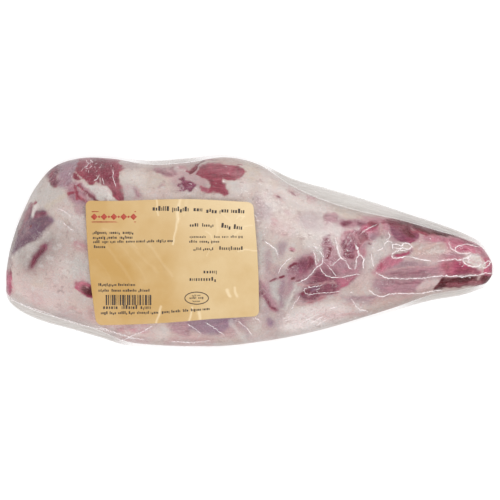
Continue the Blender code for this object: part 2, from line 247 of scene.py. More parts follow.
# Marks on the upper side, painted in this order: tone, strength, softness of the edge, run of the fibres in
# degrees, half width of a line (0 for a filled outline), points. The tone "hollow" sinks the surface.
UPPER_MARKS = (
    # fat of the thigh
    ("grey", 0.8, 4, 0, 0, ((-151, 36), (-143, 47), (-132, 45), (-124, 40), (-126, 36), (-138, 29), (-147, 31))),
    ("white", 0.55, 3, 0, 0, ((-134, 28), (-128, 30), (-118, 28), (-111, 24), (-109, 10), (-124, 13), (-134, 20))),
    ("cream", 0.8, 2, 40, 1.6, ((-138, 31), (-131, 35), (-125, 39.5))),
    ("cream", 0.6, 1.5, 0, 1.2, ((-133, 26), (-129, 22), (-124, 19.5))),
    ("shade", 0.28, 1.2, 0, 0.5, ((-126, 19.5), (-121, 17), (-117, 13))),
    ("shade", 0.22, 1.2, 0, 0.5, ((-130, 15), (-124, 11), (-122, 7))),
    ("blush", 0.5, 1.5, 0, 0.8, ((-129, 29), (-122, 27), (-117, 22), (-114, 16))),
    ("grey", 0.85, 4, 0, 0, ((-162, 2), (-150, 6), (-140, 12), (-134, 16), (-130, 8), (-134, -4), (-146, -10), (-156, -10), (-164, -4))),
    ("shade", 0.45, 6, 55, 5, ((-134, 4), (-139, -2), (-144, -7), (-149, -11))),
    ("blush", 0.65, 5, 0, 0, ((-161, -14), (-148, -20), (-134, -18), (-122, -24), (-124, -36), (-140, -43), (-158, -34))),
    ("flush", 0.4, 2.5, 0, 0, ((-150, -30), (-141, -31), (-140, -37), (-148, -38))),
    ("cream", 0.5, 3, 0, 0, ((-148, -18), (-138, -20), (-138, -25), (-148, -25))),
    ("cool", 0.7, 4, 0, 0, ((-121, -4), (-111, -4), (-107, -18), (-114, -22), (-122, -16))),
    ("white", 0.5, 4, 0, 0, ((-131, -4), (-122, -4), (-120, -18), (-131, -18))),
    ("cool", 0.6, 3, 0, 0, ((-118, -31), (-109, -31), (-105, -38), (-114, -38))),
    ("flush", 0.6, 2.5, 0, 0, ((-112, -38), (-105, -38), (-102, -50), (-110, -48))),
    ("flush", 0.6, 2, 0, 0, ((-121, 8), (-112, 9), (-108, 2), (-112, -1.5), (-119, 0.5))),
    ("rose", 0.4, 1.4, 0, 1.3, ((-117.5, 6), (-112, 3.5))),
    ("lilac", 0.35, 4, 0, 0, ((-130, -38), (-116, -40), (-106, -46), (-112, -52), (-132, -46))),
    ("flush", 0.75, 0.9, 0, 0.7, ((-122, -38.7), (-118, -39), (-115.5, -42.5))),
    ("shade", 0.7, 0.8, 0, 0.6, ((-120.5, -40), (-118.5, -42.5), (-115.5, -43.8))),
    ("shade", 0.5, 0.8, 0, 0.6, ((-120, -38.3), (-117, -38.7))),
    ("shade", 0.75, 0.6, 0, 0.5, ((-128.6, -6), (-128.1, -6))),
    ("tan", 0.8, 0.7, 0, 0.6, ((-137, -14), (-136.6, -14.3))),
    ("tan", 0.8, 0.6, 0, 0.6, ((-137.5, -19), (-136, -19.3))),
    ("shade", 0.6, 0.7, 0, 0.6, ((-131, -27.3), (-128, -27.6), (-126.5, -28.8))),
    ("shade", 0.2, 9, 0, 0, ((-166, 6), (-150, 22), (-128, 25), (-112, 22), (-110, 4), (-126, -8), (-136, -16), (-160, -14))),
    ("tan", 0.45, 5, 0, 0, ((-121, -29), (-104, -31), (-100, -52), (-112, -52), (-123, -46))),
    # top of the thigh
    ("lilac", 0.95, 2.2, 60, 0, ((-130, 61), (-122, 64), (-115, 65), (-115.5, 59), (-119, 56), (-120, 50), (-121, 44), (-127, 43), (-132, 46), (-131, 54))),
    ("mauve", 0.6, 1.4, 60, 1.4, ((-130.5, 49), (-126, 48.5))),
    ("mauve", 0.5, 1.2, 40, 1.0, ((-126, 46), (-123, 44.5))),
    ("mauve", 0.6, 1.0, 30, 0.8, ((-127, 57), (-121, 58.5))),
    ("dusky", 1.0, 1.6, 60, 0, ((-139, 53), (-136, 57), (-132, 60.5), (-129, 61), (-130, 55), (-132.3, 52.5), (-131.8, 50), (-130, 47), (-131, 44), (-134, 44.5), (-136, 46), (-138, 49))),
    ("lean", 0.6, 1.1, 60, 1.0, ((-137.3, 48.5), (-134.5, 45.5), (-131.5, 44.6))),
    ("lean", 0.5, 1.3, 60, 1.3, ((-136.5, 52), (-133, 57))),
    ("lean", 1.0, 1.0, 100, 0, ((-117, 66), (-110, 67), (-100, 67), (-90, 66), (-88.5, 61), (-83.5, 58), (-84, 57), (-88, 56.3), (-89, 55), (-88.5, 50), (-86.5, 46), (-85, 42), (-84.5, 38), (-87, 34.5), (-92, 36), (-94.5, 42), (-97.5, 45), (-100, 46), (-102, 48), (-105, 48.5), (-107, 45.8), (-109, 45.7), (-110.5, 49), (-114, 50.5), (-117, 48.5), (-120.5, 52), (-120, 55.5), (-117, 60))),
    ("lean_dark", 0.6, 3, 100, 0, ((-114, 64), (-100, 66), (-90, 60), (-89, 42), (-96, 45), (-104, 48), (-112, 49))),
    ("lean", 1.0, 0.9, 100, 0, ((-88.5, 43.3), (-86.5, 43.3), (-84.3, 40), (-85, 37.3), (-88, 36.5), (-90, 38))),
    ("lean_light", 0.6, 1.4, 100, 0, ((-115, 64), (-108, 65), (-106, 60), (-109, 56), (-114, 58))),
    ("lean_light", 0.5, 1.2, 100, 0.7, ((-91.7, 56), (-92, 48), (-90.3, 42))),
    ("lean_light", 0.5, 1.2, 100, 0.7, ((-101.6, 58), (-101, 51))),
    ("lean_light", 0.6, 1.0, 150, 1.0, ((-96, 63.5), (-90, 61), (-85, 58.5))),
    ("lean_dark", 0.55, 1.1, 100, 0.9, ((-99.5, 60), (-99.3, 51), (-97, 46.5))),
    ("lean_dark", 0.55, 1.1, 100, 0.9, ((-97, 55), (-95, 46), (-91.5, 38.5))),
    ("lean_dark", 0.6, 1.2, 100, 1.4, ((-108, 56), (-105, 54))),
    ("lean_dark", 0.6, 1.0, 60, 1.3, ((-119.5, 53.5), (-117.3, 50.5))),
    ("lean_dark", 0.7, 0.9, 100, 1.2, ((-87.5, 42), (-86, 39), (-87, 37.5))),
    ("lean_dark", 0.8, 0.7, 60, 0.8, ((-104.2, 50.3), (-101.6, 48))),
    ("blush", 0.8, 0.7, 60, 0.5, ((-119, 55.2), (-116.5, 53), (-114, 51))),
    ("blush", 0.7, 0.7, 60, 0.5, ((-104, 52), (-101.5, 50.5), (-100.5, 48))),
    ("mauve", 1.0, 2, 125, 0, ((-124, 48), (-116, 49.5), (-110, 44), (-103, 37), (-107, 31), (-119, 33), (-125, 39))),
    ("lilac", 0.55, 2, 125, 0, ((-119, 36), (-111, 35), (-110, 25), (-115, 25), (-120, 30))),
    ("flush", 0.4, 2, 0, 0, ((-120, 32), (-113, 31), (-113, 26), (-118, 27))),
    ("lean", 1.0, 0.9, 110, 1.0, ((-119, 46), (-117.3, 41), (-117, 36.5))),
    ("lean", 1.0, 0.9, 170, 1.1, ((-123.5, 39.3), (-119.5, 40))),
    ("lean", 1.0, 0.9, 120, 0.9, ((-116.5, 46.5), (-114, 42.5), (-112, 39))),
    ("lean", 0.9, 0.9, 140, 0.9, ((-117, 38.5), (-113, 35.5), (-110, 34))),
    ("lean_dark", 1.0, 0.9, 140, 1.2, ((-112, 40.5), (-108, 37.3), (-103.5, 34.5))),
    ("blush", 0.75, 0.7, 0, 0.5, ((-116, 44), (-111, 38.3), (-107, 34.5))),
    ("white", 1.0, 0.8, 120, 0, ((-114.5, 48.5), (-112, 46.7), (-109, 45), (-106.5, 46), (-103, 45.8), (-98.3, 44.6), (-95.8, 41.5), (-93.8, 38.5), (-91, 33.5), (-98, 32.5), (-102, 34.5), (-105, 39), (-109, 43), (-113, 46.3))),
    ("cool", 0.55, 2, 120, 0, ((-112, 46), (-104, 45), (-98, 41), (-95, 36), (-103, 36), (-108, 41))),
    ("blush", 0.5, 1.2, 120, 0.8, ((-115, 48.5), (-111, 46.5))),
    # silverskin, slit and blood at the thigh's end
    ("skin", 0.95, 2, 65, 0, ((-164, 1), (-162, 6), (-160, 12.5), (-157.5, 20), (-154, 26), (-150.5, 31), (-148.5, 33), (-147.5, 23), (-146, 28), (-143, 29.5), (-138, 28), (-137.5, 24.5), (-134, 23.5), (-132.5, 20.5), (-136, 17), (-138.5, 14), (-143, 9.5), (-148, 6.5), (-154, 4), (-158, 0.5), (-162, -2))),
    ("violet", 0.3, 2, 65, 0, ((-150, 19), (-142, 17), (-141, 13), (-148, 11), (-153, 14))),
    ("plum", 0.75, 1.4, 65, 0, ((-158, 18), (-154, 26), (-150.5, 32.5), (-149, 33.5), (-149.5, 28), (-150.3, 24), (-153, 22), (-155.5, 19.5))),
    ("maroon", 0.7, 1.8, 65, 1.6, ((-159, 13), (-156, 19.5), (-152.5, 26), (-149.5, 32))),
    ("plum", 0.85, 1.6, 20, 0, ((-148, 22.5), (-146, 26.5), (-144, 28.5), (-141, 27.5), (-138, 28), (-137.5, 25), (-140.5, 23.5), (-144, 22.5))),
    ("lean_dark", 0.6, 1.0, 20, 1.2, ((-145.5, 26), (-141, 25))),
    ("violet", 0.6, 1.0, 40, 0.8, ((-136, 22.5), (-133.5, 20.5))),
    ("maroon", 1.0, 0.6, 0, 0.6, ((-150.3, 17.1), (-149.5, 17.3))),
    ("white", 1.0, 0.9, 70, 0, ((-148.3, 33), (-149.2, 26), (-147.3, 22.5), (-146, 26), (-144.8, 32))),
    ("lean", 0.9, 0.7, 30, 0.5, ((-150.5, 32.5), (-148, 32.6), (-146, 34.3))),
    ("shade", 0.85, 0.9, 70, 0.9, ((-157, 21), (-161, 10), (-163.5, 1), (-165, -9), (-165, -13))),
    ("dusky", 0.65, 3.5, 55, 2.2, ((-137.5, 5), (-141.5, 0), (-147, -7), (-149.5, -11))),
    ("plum", 0.9, 1.6, 55, 1.7, ((-139, 3.6), (-142, 0.5), (-146.3, -6), (-149, -9.5))),
    ("maroon", 0.75, 1.2, 55, 0.9, ((-140, 3), (-142.5, -0.5), (-146.5, -6), (-149, -9))),
    ("hollow", 1.0, 2.0, 55, 1.0, ((-139, 5), (-143, 0), (-148, -7), (-151, -12))),
    ("crimson", 1.0, 1.0, 90, 0, ((-168, -12), (-164, -12), (-163.6, -20), (-162.8, -27), (-163, -31), (-168, -31))),
    ("maroon", 0.7, 0.8, 90, 0.8, ((-164.6, -12.5), (-164.6, -15))),
    ("flush", 0.6, 1.2, 90, 1.0, ((-162.5, -22), (-162, -29))),
    ("rose", 0.6, 1.4, 20, 0, ((-120, -21), (-115, -19), (-108, -21), (-107, -30), (-112, -30), (-118, -26))),
    ("crimson", 1.0, 1.0, 20, 0, ((-118.5, -22), (-115.5, -20.5), (-111, -21.5), (-106, -23), (-105, -31.5), (-110, -32), (-114, -30), (-119, -25.5))),
    ("blood", 0.95, 1.1, 20, 0, ((-114.5, -24), (-112, -23.3), (-110, -25), (-108, -22.5), (-104, -22.5), (-104, -31), (-110, -31), (-114, -29.5), (-116, -27))),
    ("flush", 0.85, 0.5, 0, 0.5, ((-111, -24.3), (-109.9, -25.8))),
    ("maroon", 0.6, 0.9, 0, 0.8, ((-118, -21.5), (-116.5, -21.2))),
    # along the upper edge, beyond the label
    ("cream", 0.45, 5, 0, 0, ((-88, 62), (-50, 62), (-50, 38), (-86, 38))),
    ("lilac", 0.45, 4, 0, 0, ((-86, 48), (-76, 46), (-71, 36), (-86, 35))),
    ("lilac", 0.35, 3, 0, 0, ((-87, 64), (-76, 62), (-76, 56), (-86, 55))),
    ("tan", 0.55, 3, 0, 0, ((-70, 61), (-52, 62), (-50, 55), (-60, 54), (-70, 55))),
    ("mauve", 0.55, 3, 110, 0, ((-54, 61), (-34, 62), (-28, 52), (-27, 42), (-36, 43), (-51, 41), (-54, 50))),
    ("white", 0.5, 5, 0, 0, ((-82, 58), (-72, 58), (-70, 48), (-84, 46))),
    ("cool", 0.55, 3, 0, 0, ((-88, 52), (-80, 50), (-77, 38), (-83, 35))),
    ("blush", 0.5, 3, 0, 0, ((-70, 44), (-54, 44), (-54, 36), (-70, 36))),
    ("flush", 0.3, 2, 0, 0, ((-86, 47), (-80, 46), (-78, 42), (-83, 41))),
    ("mauve", 0.55, 1.8, 100, 0, ((-79.5, 44.5), (-75.5, 43), (-73, 38.5), (-77, 37.5), (-79, 41))),
    ("plum", 0.6, 1.2, 100, 0.7, ((-77.5, 42), (-76, 39))),
    ("mauve", 0.75, 1.3, -12, 0, ((-66, 58), (-60, 58.3), (-53.5, 57.3), (-50, 56), (-50, 52), (-55, 51.3), (-60, 53), (-63, 55.5))),
    ("dusky", 0.75, 1.0, -15, 0.9, ((-65, 57.2), (-60, 55.3), (-54, 53.8))),
    ("dusky", 0.7, 1.0, -15, 0.9, ((-57, 52.7), (-53, 52.3))),
    ("dusky", 0.7, 1.0, -60, 0.8, ((-52.5, 57), (-50.7, 54))),
    ("mauve", 0.6, 1.2, 30, 0.9, ((-61, 44.5), (-59.5, 46.5), (-57.5, 46.5))),
    ("flush", 0.6, 1.2, 0, 0.7, ((-56.5, 51.2), (-53, 51))),
    ("tan", 0.4, 1.5, 0, 0, ((-52, 61.5), (-44, 61), (-38, 62), (-35, 61), (-40, 56.5), (-46, 57.3), (-52, 59))),
    # Painted sheen: a thin white line below the pale band.
    ("white", 0.6, 0.8, 0, 0.7, ((-50, 57.3), (-45, 56.8), (-41, 55))),
    ("tan", 0.7, 1.5, 0, 0, ((-34, 61.5), (-30, 65), (-15, 65), (-3, 62), (-6, 60), (-20, 61.5))),
    ("tan", 0.5, 1.2, 0, 0.9, ((-28, 61.3), (-15, 61.2), (-7, 59.8))),
    ("plum", 1.0, 1.0, 110, 0, ((-47.5, 51.5), (-45.7, 52.8), (-44, 51.7), (-43, 49.7), (-40.3, 49.3), (-38.3, 46.8), (-35.8, 46), (-37.5, 43.5), (-39.3, 42.8), (-40.3, 40.7), (-42, 41.3), (-43, 43.3), (-45.5, 41.8), (-48.3, 42.3), (-47, 44), (-49.3, 45.3), (-48, 47.3), (-45.5, 47.3), (-46, 49.3), (-48, 49.7))),
    ("lean_dark", 0.6, 0.9, 110, 0.9, ((-46, 51.5), (-45, 49.5))),
    ("lean_dark", 0.6, 0.9, 110, 0.9, ((-44, 46), (-41, 47.5))),
    ("lilac", 0.8, 0.8, 60, 0.7, ((-46.3, 45.5), (-44.8, 44.2))),
    ("lilac", 0.6, 0.8, 60, 0.6, ((-42.5, 44.2), (-40.5, 44.5))),
    # Partly bright fat, partly a painted sheen.
    ("white", 0.65, 3, 0, 0, ((-14, 48), (-9, 49), (-1, 50), (4, 44), (-3, 38), (-12, 40), (-14, 45))),
    ("cream", 0.6, 3, 0, 0, ((-3, 62), (8, 60), (6, 50), (0, 47), (-4, 54))),
    ("cool", 0.5, 2.5, 0, 0, ((-14, 50), (-8, 50), (-6, 42), (-12, 42))),
    ("lean", 1.0, 1.2, -8, 0, ((-37, 54.5), (-34, 59.5), (-27, 61), (-17, 61.2), (-8, 60.2), (-3, 57.5), (-1.8, 54.8), (-5.5, 51.5), (-8.5, 50), (-13, 49.3), (-17.5, 49.3), (-18.5, 48.5), (-16.5, 46), (-15, 42), (-13, 38.3), (-17.5, 39.3), (-21, 40), (-26.5, 40.3), (-28.7, 41.5), (-26, 44.5), (-26.3, 46.5), (-28, 48.7), (-31, 51), (-34.5, 52))),
    ("lean_light", 0.55, 1.5, -8, 0, ((-30, 58), (-16, 58.7), (-6, 57.5), (-3.5, 55), (-8, 52.5), (-16, 53), (-26, 55))),
    ("lean_light", 0.5, 1.3, 110, 1.2, ((-17.5, 47), (-16.5, 43), (-14, 39.5))),
    ("lean_light", 0.9, 1.0, 20, 0, ((-33.5, 45), (-31, 45), (-28.5, 42.5), (-27, 40.7), (-30, 40.6), (-33.3, 42))),
    ("lean_dark", 0.45, 1.3, -20, 1.2, ((-34, 54.5), (-29, 53), (-25, 48))),
    ("rose", 0.7, 0.9, 50, 0.6, ((-49, 58.2), (-45, 57.8), (-42, 56.3))),
    ("lean", 1.0, 0.8, 50, 0.9, ((-42.5, 56.3), (-40.6, 55.2), (-38, 57.8), (-36, 59.8))),
    ("maroon", 0.8, 0.7, 45, 0.55, ((-40.6, 55), (-36.8, 58.7), (-32.7, 61.9), (-30, 63.5))),
    ("lean", 0.95, 0.6, 0, 0.5, ((-30.2, 63.7), (-27, 63.3), (-24, 63.3), (-21, 63.2))),
    ("tan", 0.9, 0.6, 0, 0.5, ((-21, 63), (-15, 62.2), (-10, 61.7), (-4.5, 60.2))),
    ("lean", 0.8, 0.6, 0, 0.45, ((-7.5, 61.2), (-4.8, 60.3))),
    ("hollow", 1.0, 1.5, 20, 0.8, ((-41, 54), (-36.3, 59), (-32.7, 62.2), (-29, 63.9))),
    # below the label
    ("tan", 0.5, 5, 0, 0, ((-106, -50), (-60, -48), (-20, -46), (4, -44), (14, -50), (20, -62), (-40, -70), (-96, -64))),
    ("blush", 0.5, 4, 0, 0, ((-104, -50), (-66, -48), (-60, -60), (-80, -66), (-98, -60))),
    ("flush", 0.7, 2.5, 0, 0, ((-103, -48), (-88, -49), (-70, -49.5), (-66, -54), (-78, -57), (-88, -57))),
    ("tan", 0.7, 2.0, 0, 2.0, ((-94, -53), (-88, -53.5), (-82, -53.5))),
    ("shade", 0.4, 1.6, 20, 1.4, ((-94, -57), (-89, -54), (-80, -51))),
    ("rose", 0.35, 1.5, 0, 1.3, ((-88, -54.5), (-80, -53), (-72, -55))),
    ("flush", 0.7, 2.0, 0, 1.5, ((-88, -60.5), (-80, -61.5), (-70, -62))),
    ("white", 0.4, 3, 0, 0, ((-64, -52), (-57, -51), (-54, -57), (-58, -62), (-64, -60))),
    ("flush", 0.55, 2.5, 0, 0, ((-56, -60), (-40, -57), (-24, -59), (-22, -66), (-50, -68), (-60, -66))),
    ("mauve", 0.8, 2.5, -5, 0, ((-56, -50), (-50, -46), (-40, -46), (-39, -59), (-48, -58), (-54, -54))),
    ("mauve", 0.55, 3, -5, 0, ((-22, -44), (-8, -45), (0, -45), (3, -49), (-3, -53), (-9, -58), (-18, -60), (-26, -58))),
    ("violet", 0.8, 2.0, -5, 0, ((-44, -46), (-34, -44), (-24, -43), (-12, -44), (-9, -48), (-14, -53), (-20, -57), (-28, -58), (-36, -56), (-42, -52))),
    ("lilac", 0.7, 1.5, -50, 0, ((-42, -47), (-37, -46), (-28, -54), (-30, -58), (-36, -55))),
    ("grey", 0.4, 3, 0, 0, ((-6, -52), (2, -47), (8, -48), (12, -56), (2, -62), (-6, -60))),
    ("lilac", 0.6, 2, -50, 1.6, ((-8, -46), (-3, -52), (0, -59))),
    ("white", 0.6, 1.5, -50, 1.0, ((-13, -48), (-8, -55), (-3, -62))),
    ("blush", 0.7, 2.5, 0, 0, ((-2, -58), (10, -57), (22, -57), (20, -64), (0, -66))),
    # knee
    ("lilac", 0.5, 5, 0, 0, ((26, -14), (36, -2), (46, 6), (50, 16), (62, 25), (80, 23), (96, 21), (116, 17), (118, 8), (104, 5), (97, -1), (88, -10), (80, -15), (74, -22), (60, -30), (46, -35), (34, -34), (27, -24))),
    ("mauve", 0.55, 3, 25, 0, ((50, 20), (60, 24), (76, 22), (88, 18), (84, 9), (80, 2), (78, -8), (72, -14), (58, -16), (50, -10), (47, 0), (50, 10))),
    ("white", 0.55, 6, 0, 0, ((8, 54), (30, 50), (60, 40), (52, 14), (34, 12), (20, 8), (8, 14), (6, 30))),
    ("tan", 0.35, 5, 0, 0, ((14, 28), (34, 28), (36, 20), (28, 14), (14, 14))),
    ("white", 0.75, 3, 0, 0, ((36, 14), (50, 14), (54, 19), (64, 19), (63, 8), (61.5, 0), (57, 3), (54, 10), (49, 0), (44, 0), (38, 4))),
    ("lilac", 0.5, 4, 60, 0, ((10, -8), (20, -8), (32, -14), (32, -27), (27, -38), (22, -56), (10, -56), (8, -42), (10, -24))),
    ("mauve", 0.4, 3, 60, 0, ((11, -11), (20, -11), (21, -16), (12, -15))),
    ("cream", 0.45, 2.5, 0, 0, ((13, 50), (21, 50), (21, 44), (14, 45))),
    ("lilac", 0.45, 2.5, 0, 0, ((3, 40), (9, 37), (16, 29), (17, 22), (5, 21))),
    ("lilac", 0.4, 3, 0, 0, ((31, 24), (40, 28), (50, 27), (49, 16), (44, 13), (36, 18))),
    ("flush", 0.3, 3.5, 0, 0, ((13, 20), (20, 21), (31, 17), (31, 10), (22, 9), (14, 12))),
    ("violet", 0.5, 2.2, 60, 0, ((19.5, 7), (25, 7.5), (27, 3), (25, -2), (19.5, -5), (18.5, 1))),
    ("tan", 0.4, 1.6, 0, 0.9, ((1, 42), (3, 34))),
    ("shade", 0.8, 0.7, 0, 0.6, ((2.4, 36.6), (2.8, 36.0))),
    ("flush", 0.6, 1.6, 0, 1.5, ((19, 38.6), (21.5, 37.2))),
    ("dusky", 1.0, 0.6, 0, 0.6, ((20.4, 38), (20.9, 37.8))),
    ("flush", 0.6, 1.5, -30, 1.3, ((28.3, 42.3), (33, 39.5))),
    ("flush", 0.35, 1.2, -20, 0.9, ((31, 43), (41, 40.8))),
    ("dusky", 0.9, 0.7, -35, 0.6, ((30, 41), (31.8, 39.5))),
    ("rose", 0.5, 1.2, 0, 1.2, ((40.8, 36.7), (44.3, 36.5))),
    ("flush", 0.3, 2, 0, 2, ((41, 35), (44, 34))),
    ("flush", 0.65, 1.3, 0, 1.2, ((25, 28.2), (27, 27))),
    ("flush", 0.7, 1.4, 0, 1.4, ((15.5, 20), (17.5, 19.3))),
    ("flush", 0.6, 0.9, 0, 0.6, ((16, 21.3), (20, 21.2))),
    ("flush", 0.5, 1.5, 0, 1.0, ((23, 12.5), (24.5, 11))),
    ("rose", 0.9, 1.1, 0, 1.2, ((29.3, 2.2), (30.5, 1.2))),
    ("maroon", 1.0, 0.6, 0, 0.6, ((29.5, 0.7), (30, 0.4))),
    ("mauve", 0.75, 1.8, 10, 0, ((50.5, 26.5), (55, 27), (60, 27), (62, 23), (58, 19.5), (53, 20), (51, 22))),
    ("dusky", 0.5, 1.4, 10, 0.8, ((51.3, 25.3), (51.7, 22.5))),
    ("cool", 0.7, 2.5, 0, 0, ((6, 16), (11, 16), (11, 6), (11, -10), (6, -12))),
    ("cool", 0.6, 1.5, 0, 0, ((15, 4), (19, 4), (20, -6), (17, -8))),
    ("lilac", 0.5, 2, 80, 0, ((10.5, 3), (13, 3), (15.5, -1), (16, -10), (13, -14), (10.5, -10))),
    ("tan", 0.5, 1.8, 0, 0, ((13, -8), (18, -9), (18.5, -15), (14, -15.5))),
    # behind the knee
    ("cool", 0.75, 2, 75, 2.2, ((17.5, -21), (17.5, -27), (20, -33))),
    ("cool", 0.6, 2, 60, 1.8, ((33, -22), (29, -30), (25, -38))),
    ("mauve", 0.4, 2, 60, 1.6, ((12, -21), (13.5, -26), (17, -34))),
    ("lilac", 0.8, 1.6, 75, 1.4, ((22.5, -21), (22, -30), (22, -37))),
    ("mauve", 0.5, 2, 60, 1.8, ((28.5, -19.5), (27.5, -24), (25, -29))),
    ("white", 0.7, 0.9, 60, 0.6, ((32, -24), (28, -32), (25, -41))),
    ("shade", 0.55, 0.7, 60, 0.5, ((31, -31), (28.5, -35.5))),
    ("shade", 0.45, 0.6, 60, 0.4, ((29.5, -31), (27.3, -35))),
    ("mauve", 0.95, 1.1, -60, 0, ((6, -18), (9, -20), (13, -26), (16.5, -33), (21, -40), (19, -43), (13, -38.5), (9, -32), (6, -30))),
    ("dusky", 0.8, 1.3, -60, 1.2, ((8, -28), (12, -34), (16, -38.5), (19.5, -40.5))),
    ("lean_dark", 0.8, 0.8, -60, 0.6, ((13.3, -35), (16, -38.3), (19, -39.6))),
    ("shade", 0.5, 1.0, -60, 0.8, ((7.5, -22), (8.5, -28))),
    ("hollow", 0.8, 2, -55, 1.2, ((6.8, -21.8), (10.9, -30), (15.4, -36.4), (19.5, -40))),
    ("violet", 0.75, 1.6, 80, 0, ((12.5, -46), (16, -45), (17, -49.5), (15, -53), (11.5, -51), (11.5, -48.5))),
    ("cream", 0.35, 2.5, 0, 0, ((14, -42), (18, -42), (19, -46), (14, -47))),
    ("mauve", 0.7, 0.9, 20, 0.9, ((15, -20), (18.5, -19), (23.5, -17))),
    ("lean_dark", 1.0, 0.7, 20, 0.6, ((15.2, -19.8), (18, -18.3))),
    ("lean_dark", 1.0, 0.7, 25, 0.7, ((20.8, -17.6), (22.8, -16.6))),
    ("mauve", 0.95, 2, 25, 0, ((24.5, -13), (28, -7), (36.5, -3), (44, 0.5), (48, -4), (50, -12), (44, -19), (36, -22), (31, -21), (27, -19))),
    ("dusky", 0.5, 1.6, 25, 0, ((27, -11.5), (30.5, -8.5), (36.5, -4.5), (41.5, -2.6), (45, -4), (45.5, -8.5), (42.5, -11), (40, -13.7), (37.3, -17.5), (33, -19), (30.5, -17), (29.5, -14))),
    ("dusky", 0.9, 1.8, 25, 0, ((29, -9.5), (36.5, -4.5), (41.5, -2.6), (45, -4), (45.5, -8.5), (42.5, -11), (38, -11), (33, -10.5))),
    ("plum", 0.7, 2, 40, 0, ((33, -9), (38, -4.3), (43, -4), (44.5, -6.5), (44, -9.5), (41, -12), (36, -13.5), (33, -12))),
    ("lean_dark", 0.8, 1.0, 65, 1.7, ((41.5, -4), (43, -6), (40.3, -9.5))),
    ("lean_dark", 0.95, 0.8, 25, 0.9, ((27.3, -10.6), (29.5, -9.6), (31.5, -8.2))),
    ("lilac", 0.45, 1.3, 25, 1.2, ((30.5, -11), (33, -13))),
    ("maroon", 0.9, 0.8, 0, 1.0, ((29.7, -18.8), (30.8, -18.6))),
    ("lean_dark", 0.9, 0.7, 25, 0.6, ((32.8, -20.8), (35, -20.2))),
    ("mauve", 0.85, 1.5, 80, 0, ((49.5, 9), (53, 12), (57, 8), (59, 2), (60, -6), (58, -10), (52, -9), (50, -5))),
    ("dusky", 1.0, 1.1, 80, 1.0, ((52.5, 8), (53.5, 5.5))),
    ("lean_dark", 0.8, 1.1, 80, 1.2, ((54.5, 1.8), (54, -1.5), (53, -4))),
    ("cool", 0.6, 1.2, 80, 0.9, ((57, 11), (57.5, 5))),
    ("dusky", 1.0, 0.6, 0, 0.6, ((54.3, 11.8), (54.8, 11.4))),
    ("cool", 0.7, 1.6, 80, 0, ((44.5, 1), (47, 3), (49.3, -1), (49, -8), (46, -8))),
    ("mauve", 0.95, 2, -30, 0, ((47, -9), (52, -6), (58, -5), (63, -4), (69, -9), (76, -12), (77, -15.5), (62, -17), (50, -16))),
    ("dusky", 0.6, 2.5, -30, 0, ((47.5, -12), (52, -10), (60, -12), (62, -17), (50, -16))),
    ("lilac", 0.4, 1.8, -30, 0, ((60, -6), (66, -8), (68, -12), (61, -12))),
    ("rose", 0.35, 1.4, -30, 1.3, ((66, -13.5), (72, -13), (75, -10))),
    # heel muscle
    ("mauve", 0.5, 1.8, 10, 0, ((31, -31), (36, -27), (44, -27), (58, -29), (60, -30), (50, -33), (42, -36), (34, -37.5), (31, -36))),
    ("dusky", 1.0, 1.6, 12, 0, ((33.5, -31), (36, -26.5), (38.5, -23), (41, -20), (44, -15), (46.5, -11.5), (50, -13.8), (54.5, -16.6), (62, -18), (69, -16.7), (75, -15.7), (77, -16.2), (74, -19), (70, -21.3), (65, -24), (61, -28), (56.5, -29.7), (51, -31), (46, -32.5), (42, -34), (38, -33.5))),
    ("plum", 0.75, 1.6, 12, 0, ((40, -21), (44, -15), (46.5, -12), (51, -15), (54, -18), (53, -24), (47, -27), (41, -25))),
    ("lean_dark", 0.7, 1.3, 20, 1.8, ((46, -16.5), (48.5, -19.5), (45, -21.5))),
    ("rose", 0.8, 2.2, 15, 0, ((54, -18), (62, -18.3), (70, -17.2), (76, -16.3), (70, -21), (65, -24), (61, -28), (54, -28), (52, -23))),
    ("dusky", 0.9, 2, 15, 0, ((40, -20), (52, -16), (61, -19), (63, -24), (57, -29), (47, -27), (38, -28))),
    ("crimson", 0.4, 1.6, 15, 1.4, ((60, -26.5), (66, -22.5), (72, -19))),
    ("lean_dark", 0.9, 0.9, 15, 1.1, ((36.5, -28.8), (38.5, -27))),
    ("lean_dark", 0.85, 0.9, 15, 1.1, ((40.5, -28.5), (42, -26.5))),
    ("lean_dark", 0.4, 1.0, 12, 0.6, ((44, -29.7), (52, -29.2))),
    ("violet", 0.6, 1.2, 12, 1.2, ((43, -27), (46, -25.5))),
    ("flush", 0.75, 0.7, 12, 0.5, ((33.5, -23), (40, -23.3), (50, -22), (60, -21))),
    ("mauve", 0.5, 1.2, 12, 0.8, ((37, -21.5), (43, -20))),
    ("flush", 0.55, 2, 12, 1.2, ((41, -35.5), (50, -32.3), (60, -29))),
    ("lean", 0.5, 0.9, 12, 0.6, ((40, -35), (46, -33.3), (52, -31.3))),
    # over the joint
    ("rose", 0.7, 3, 25, 0, ((68, 17), (74, 23), (84, 25), (98, 24), (98, 15), (88, 12), (82, 9), (78, 2), (70, 2), (66, 8))),
    ("cream", 0.6, 2.5, 0, 0, ((56, 32), (70, 27), (80, 24), (70, 22), (60, 25))),
    ("mauve", 0.85, 1.4, -5, 0, ((63, 22), (70, 23), (80, 22.5), (88, 21), (92, 19), (92, 12), (88, 11), (80, 11), (70, 15), (63, 17))),
    ("dusky", 1.0, 1.2, 0, 0, ((63.5, 20), (65.5, 21.7), (69.5, 21.3), (69.5, 19.8), (67, 18), (64, 18))),
    ("white", 0.7, 1.2, 0, 0.9, ((64, 15.5), (70, 16.2), (74, 16.5))),
    ("dusky", 0.9, 1.2, 0, 0, ((72, 20.5), (80, 20.5), (82, 17.5), (77, 17), (74, 18.5))),
    ("rose", 0.9, 2, 30, 0, ((74, 11), (80, 12), (88, 15), (88, 19), (80, 19.5), (75.5, 16))),
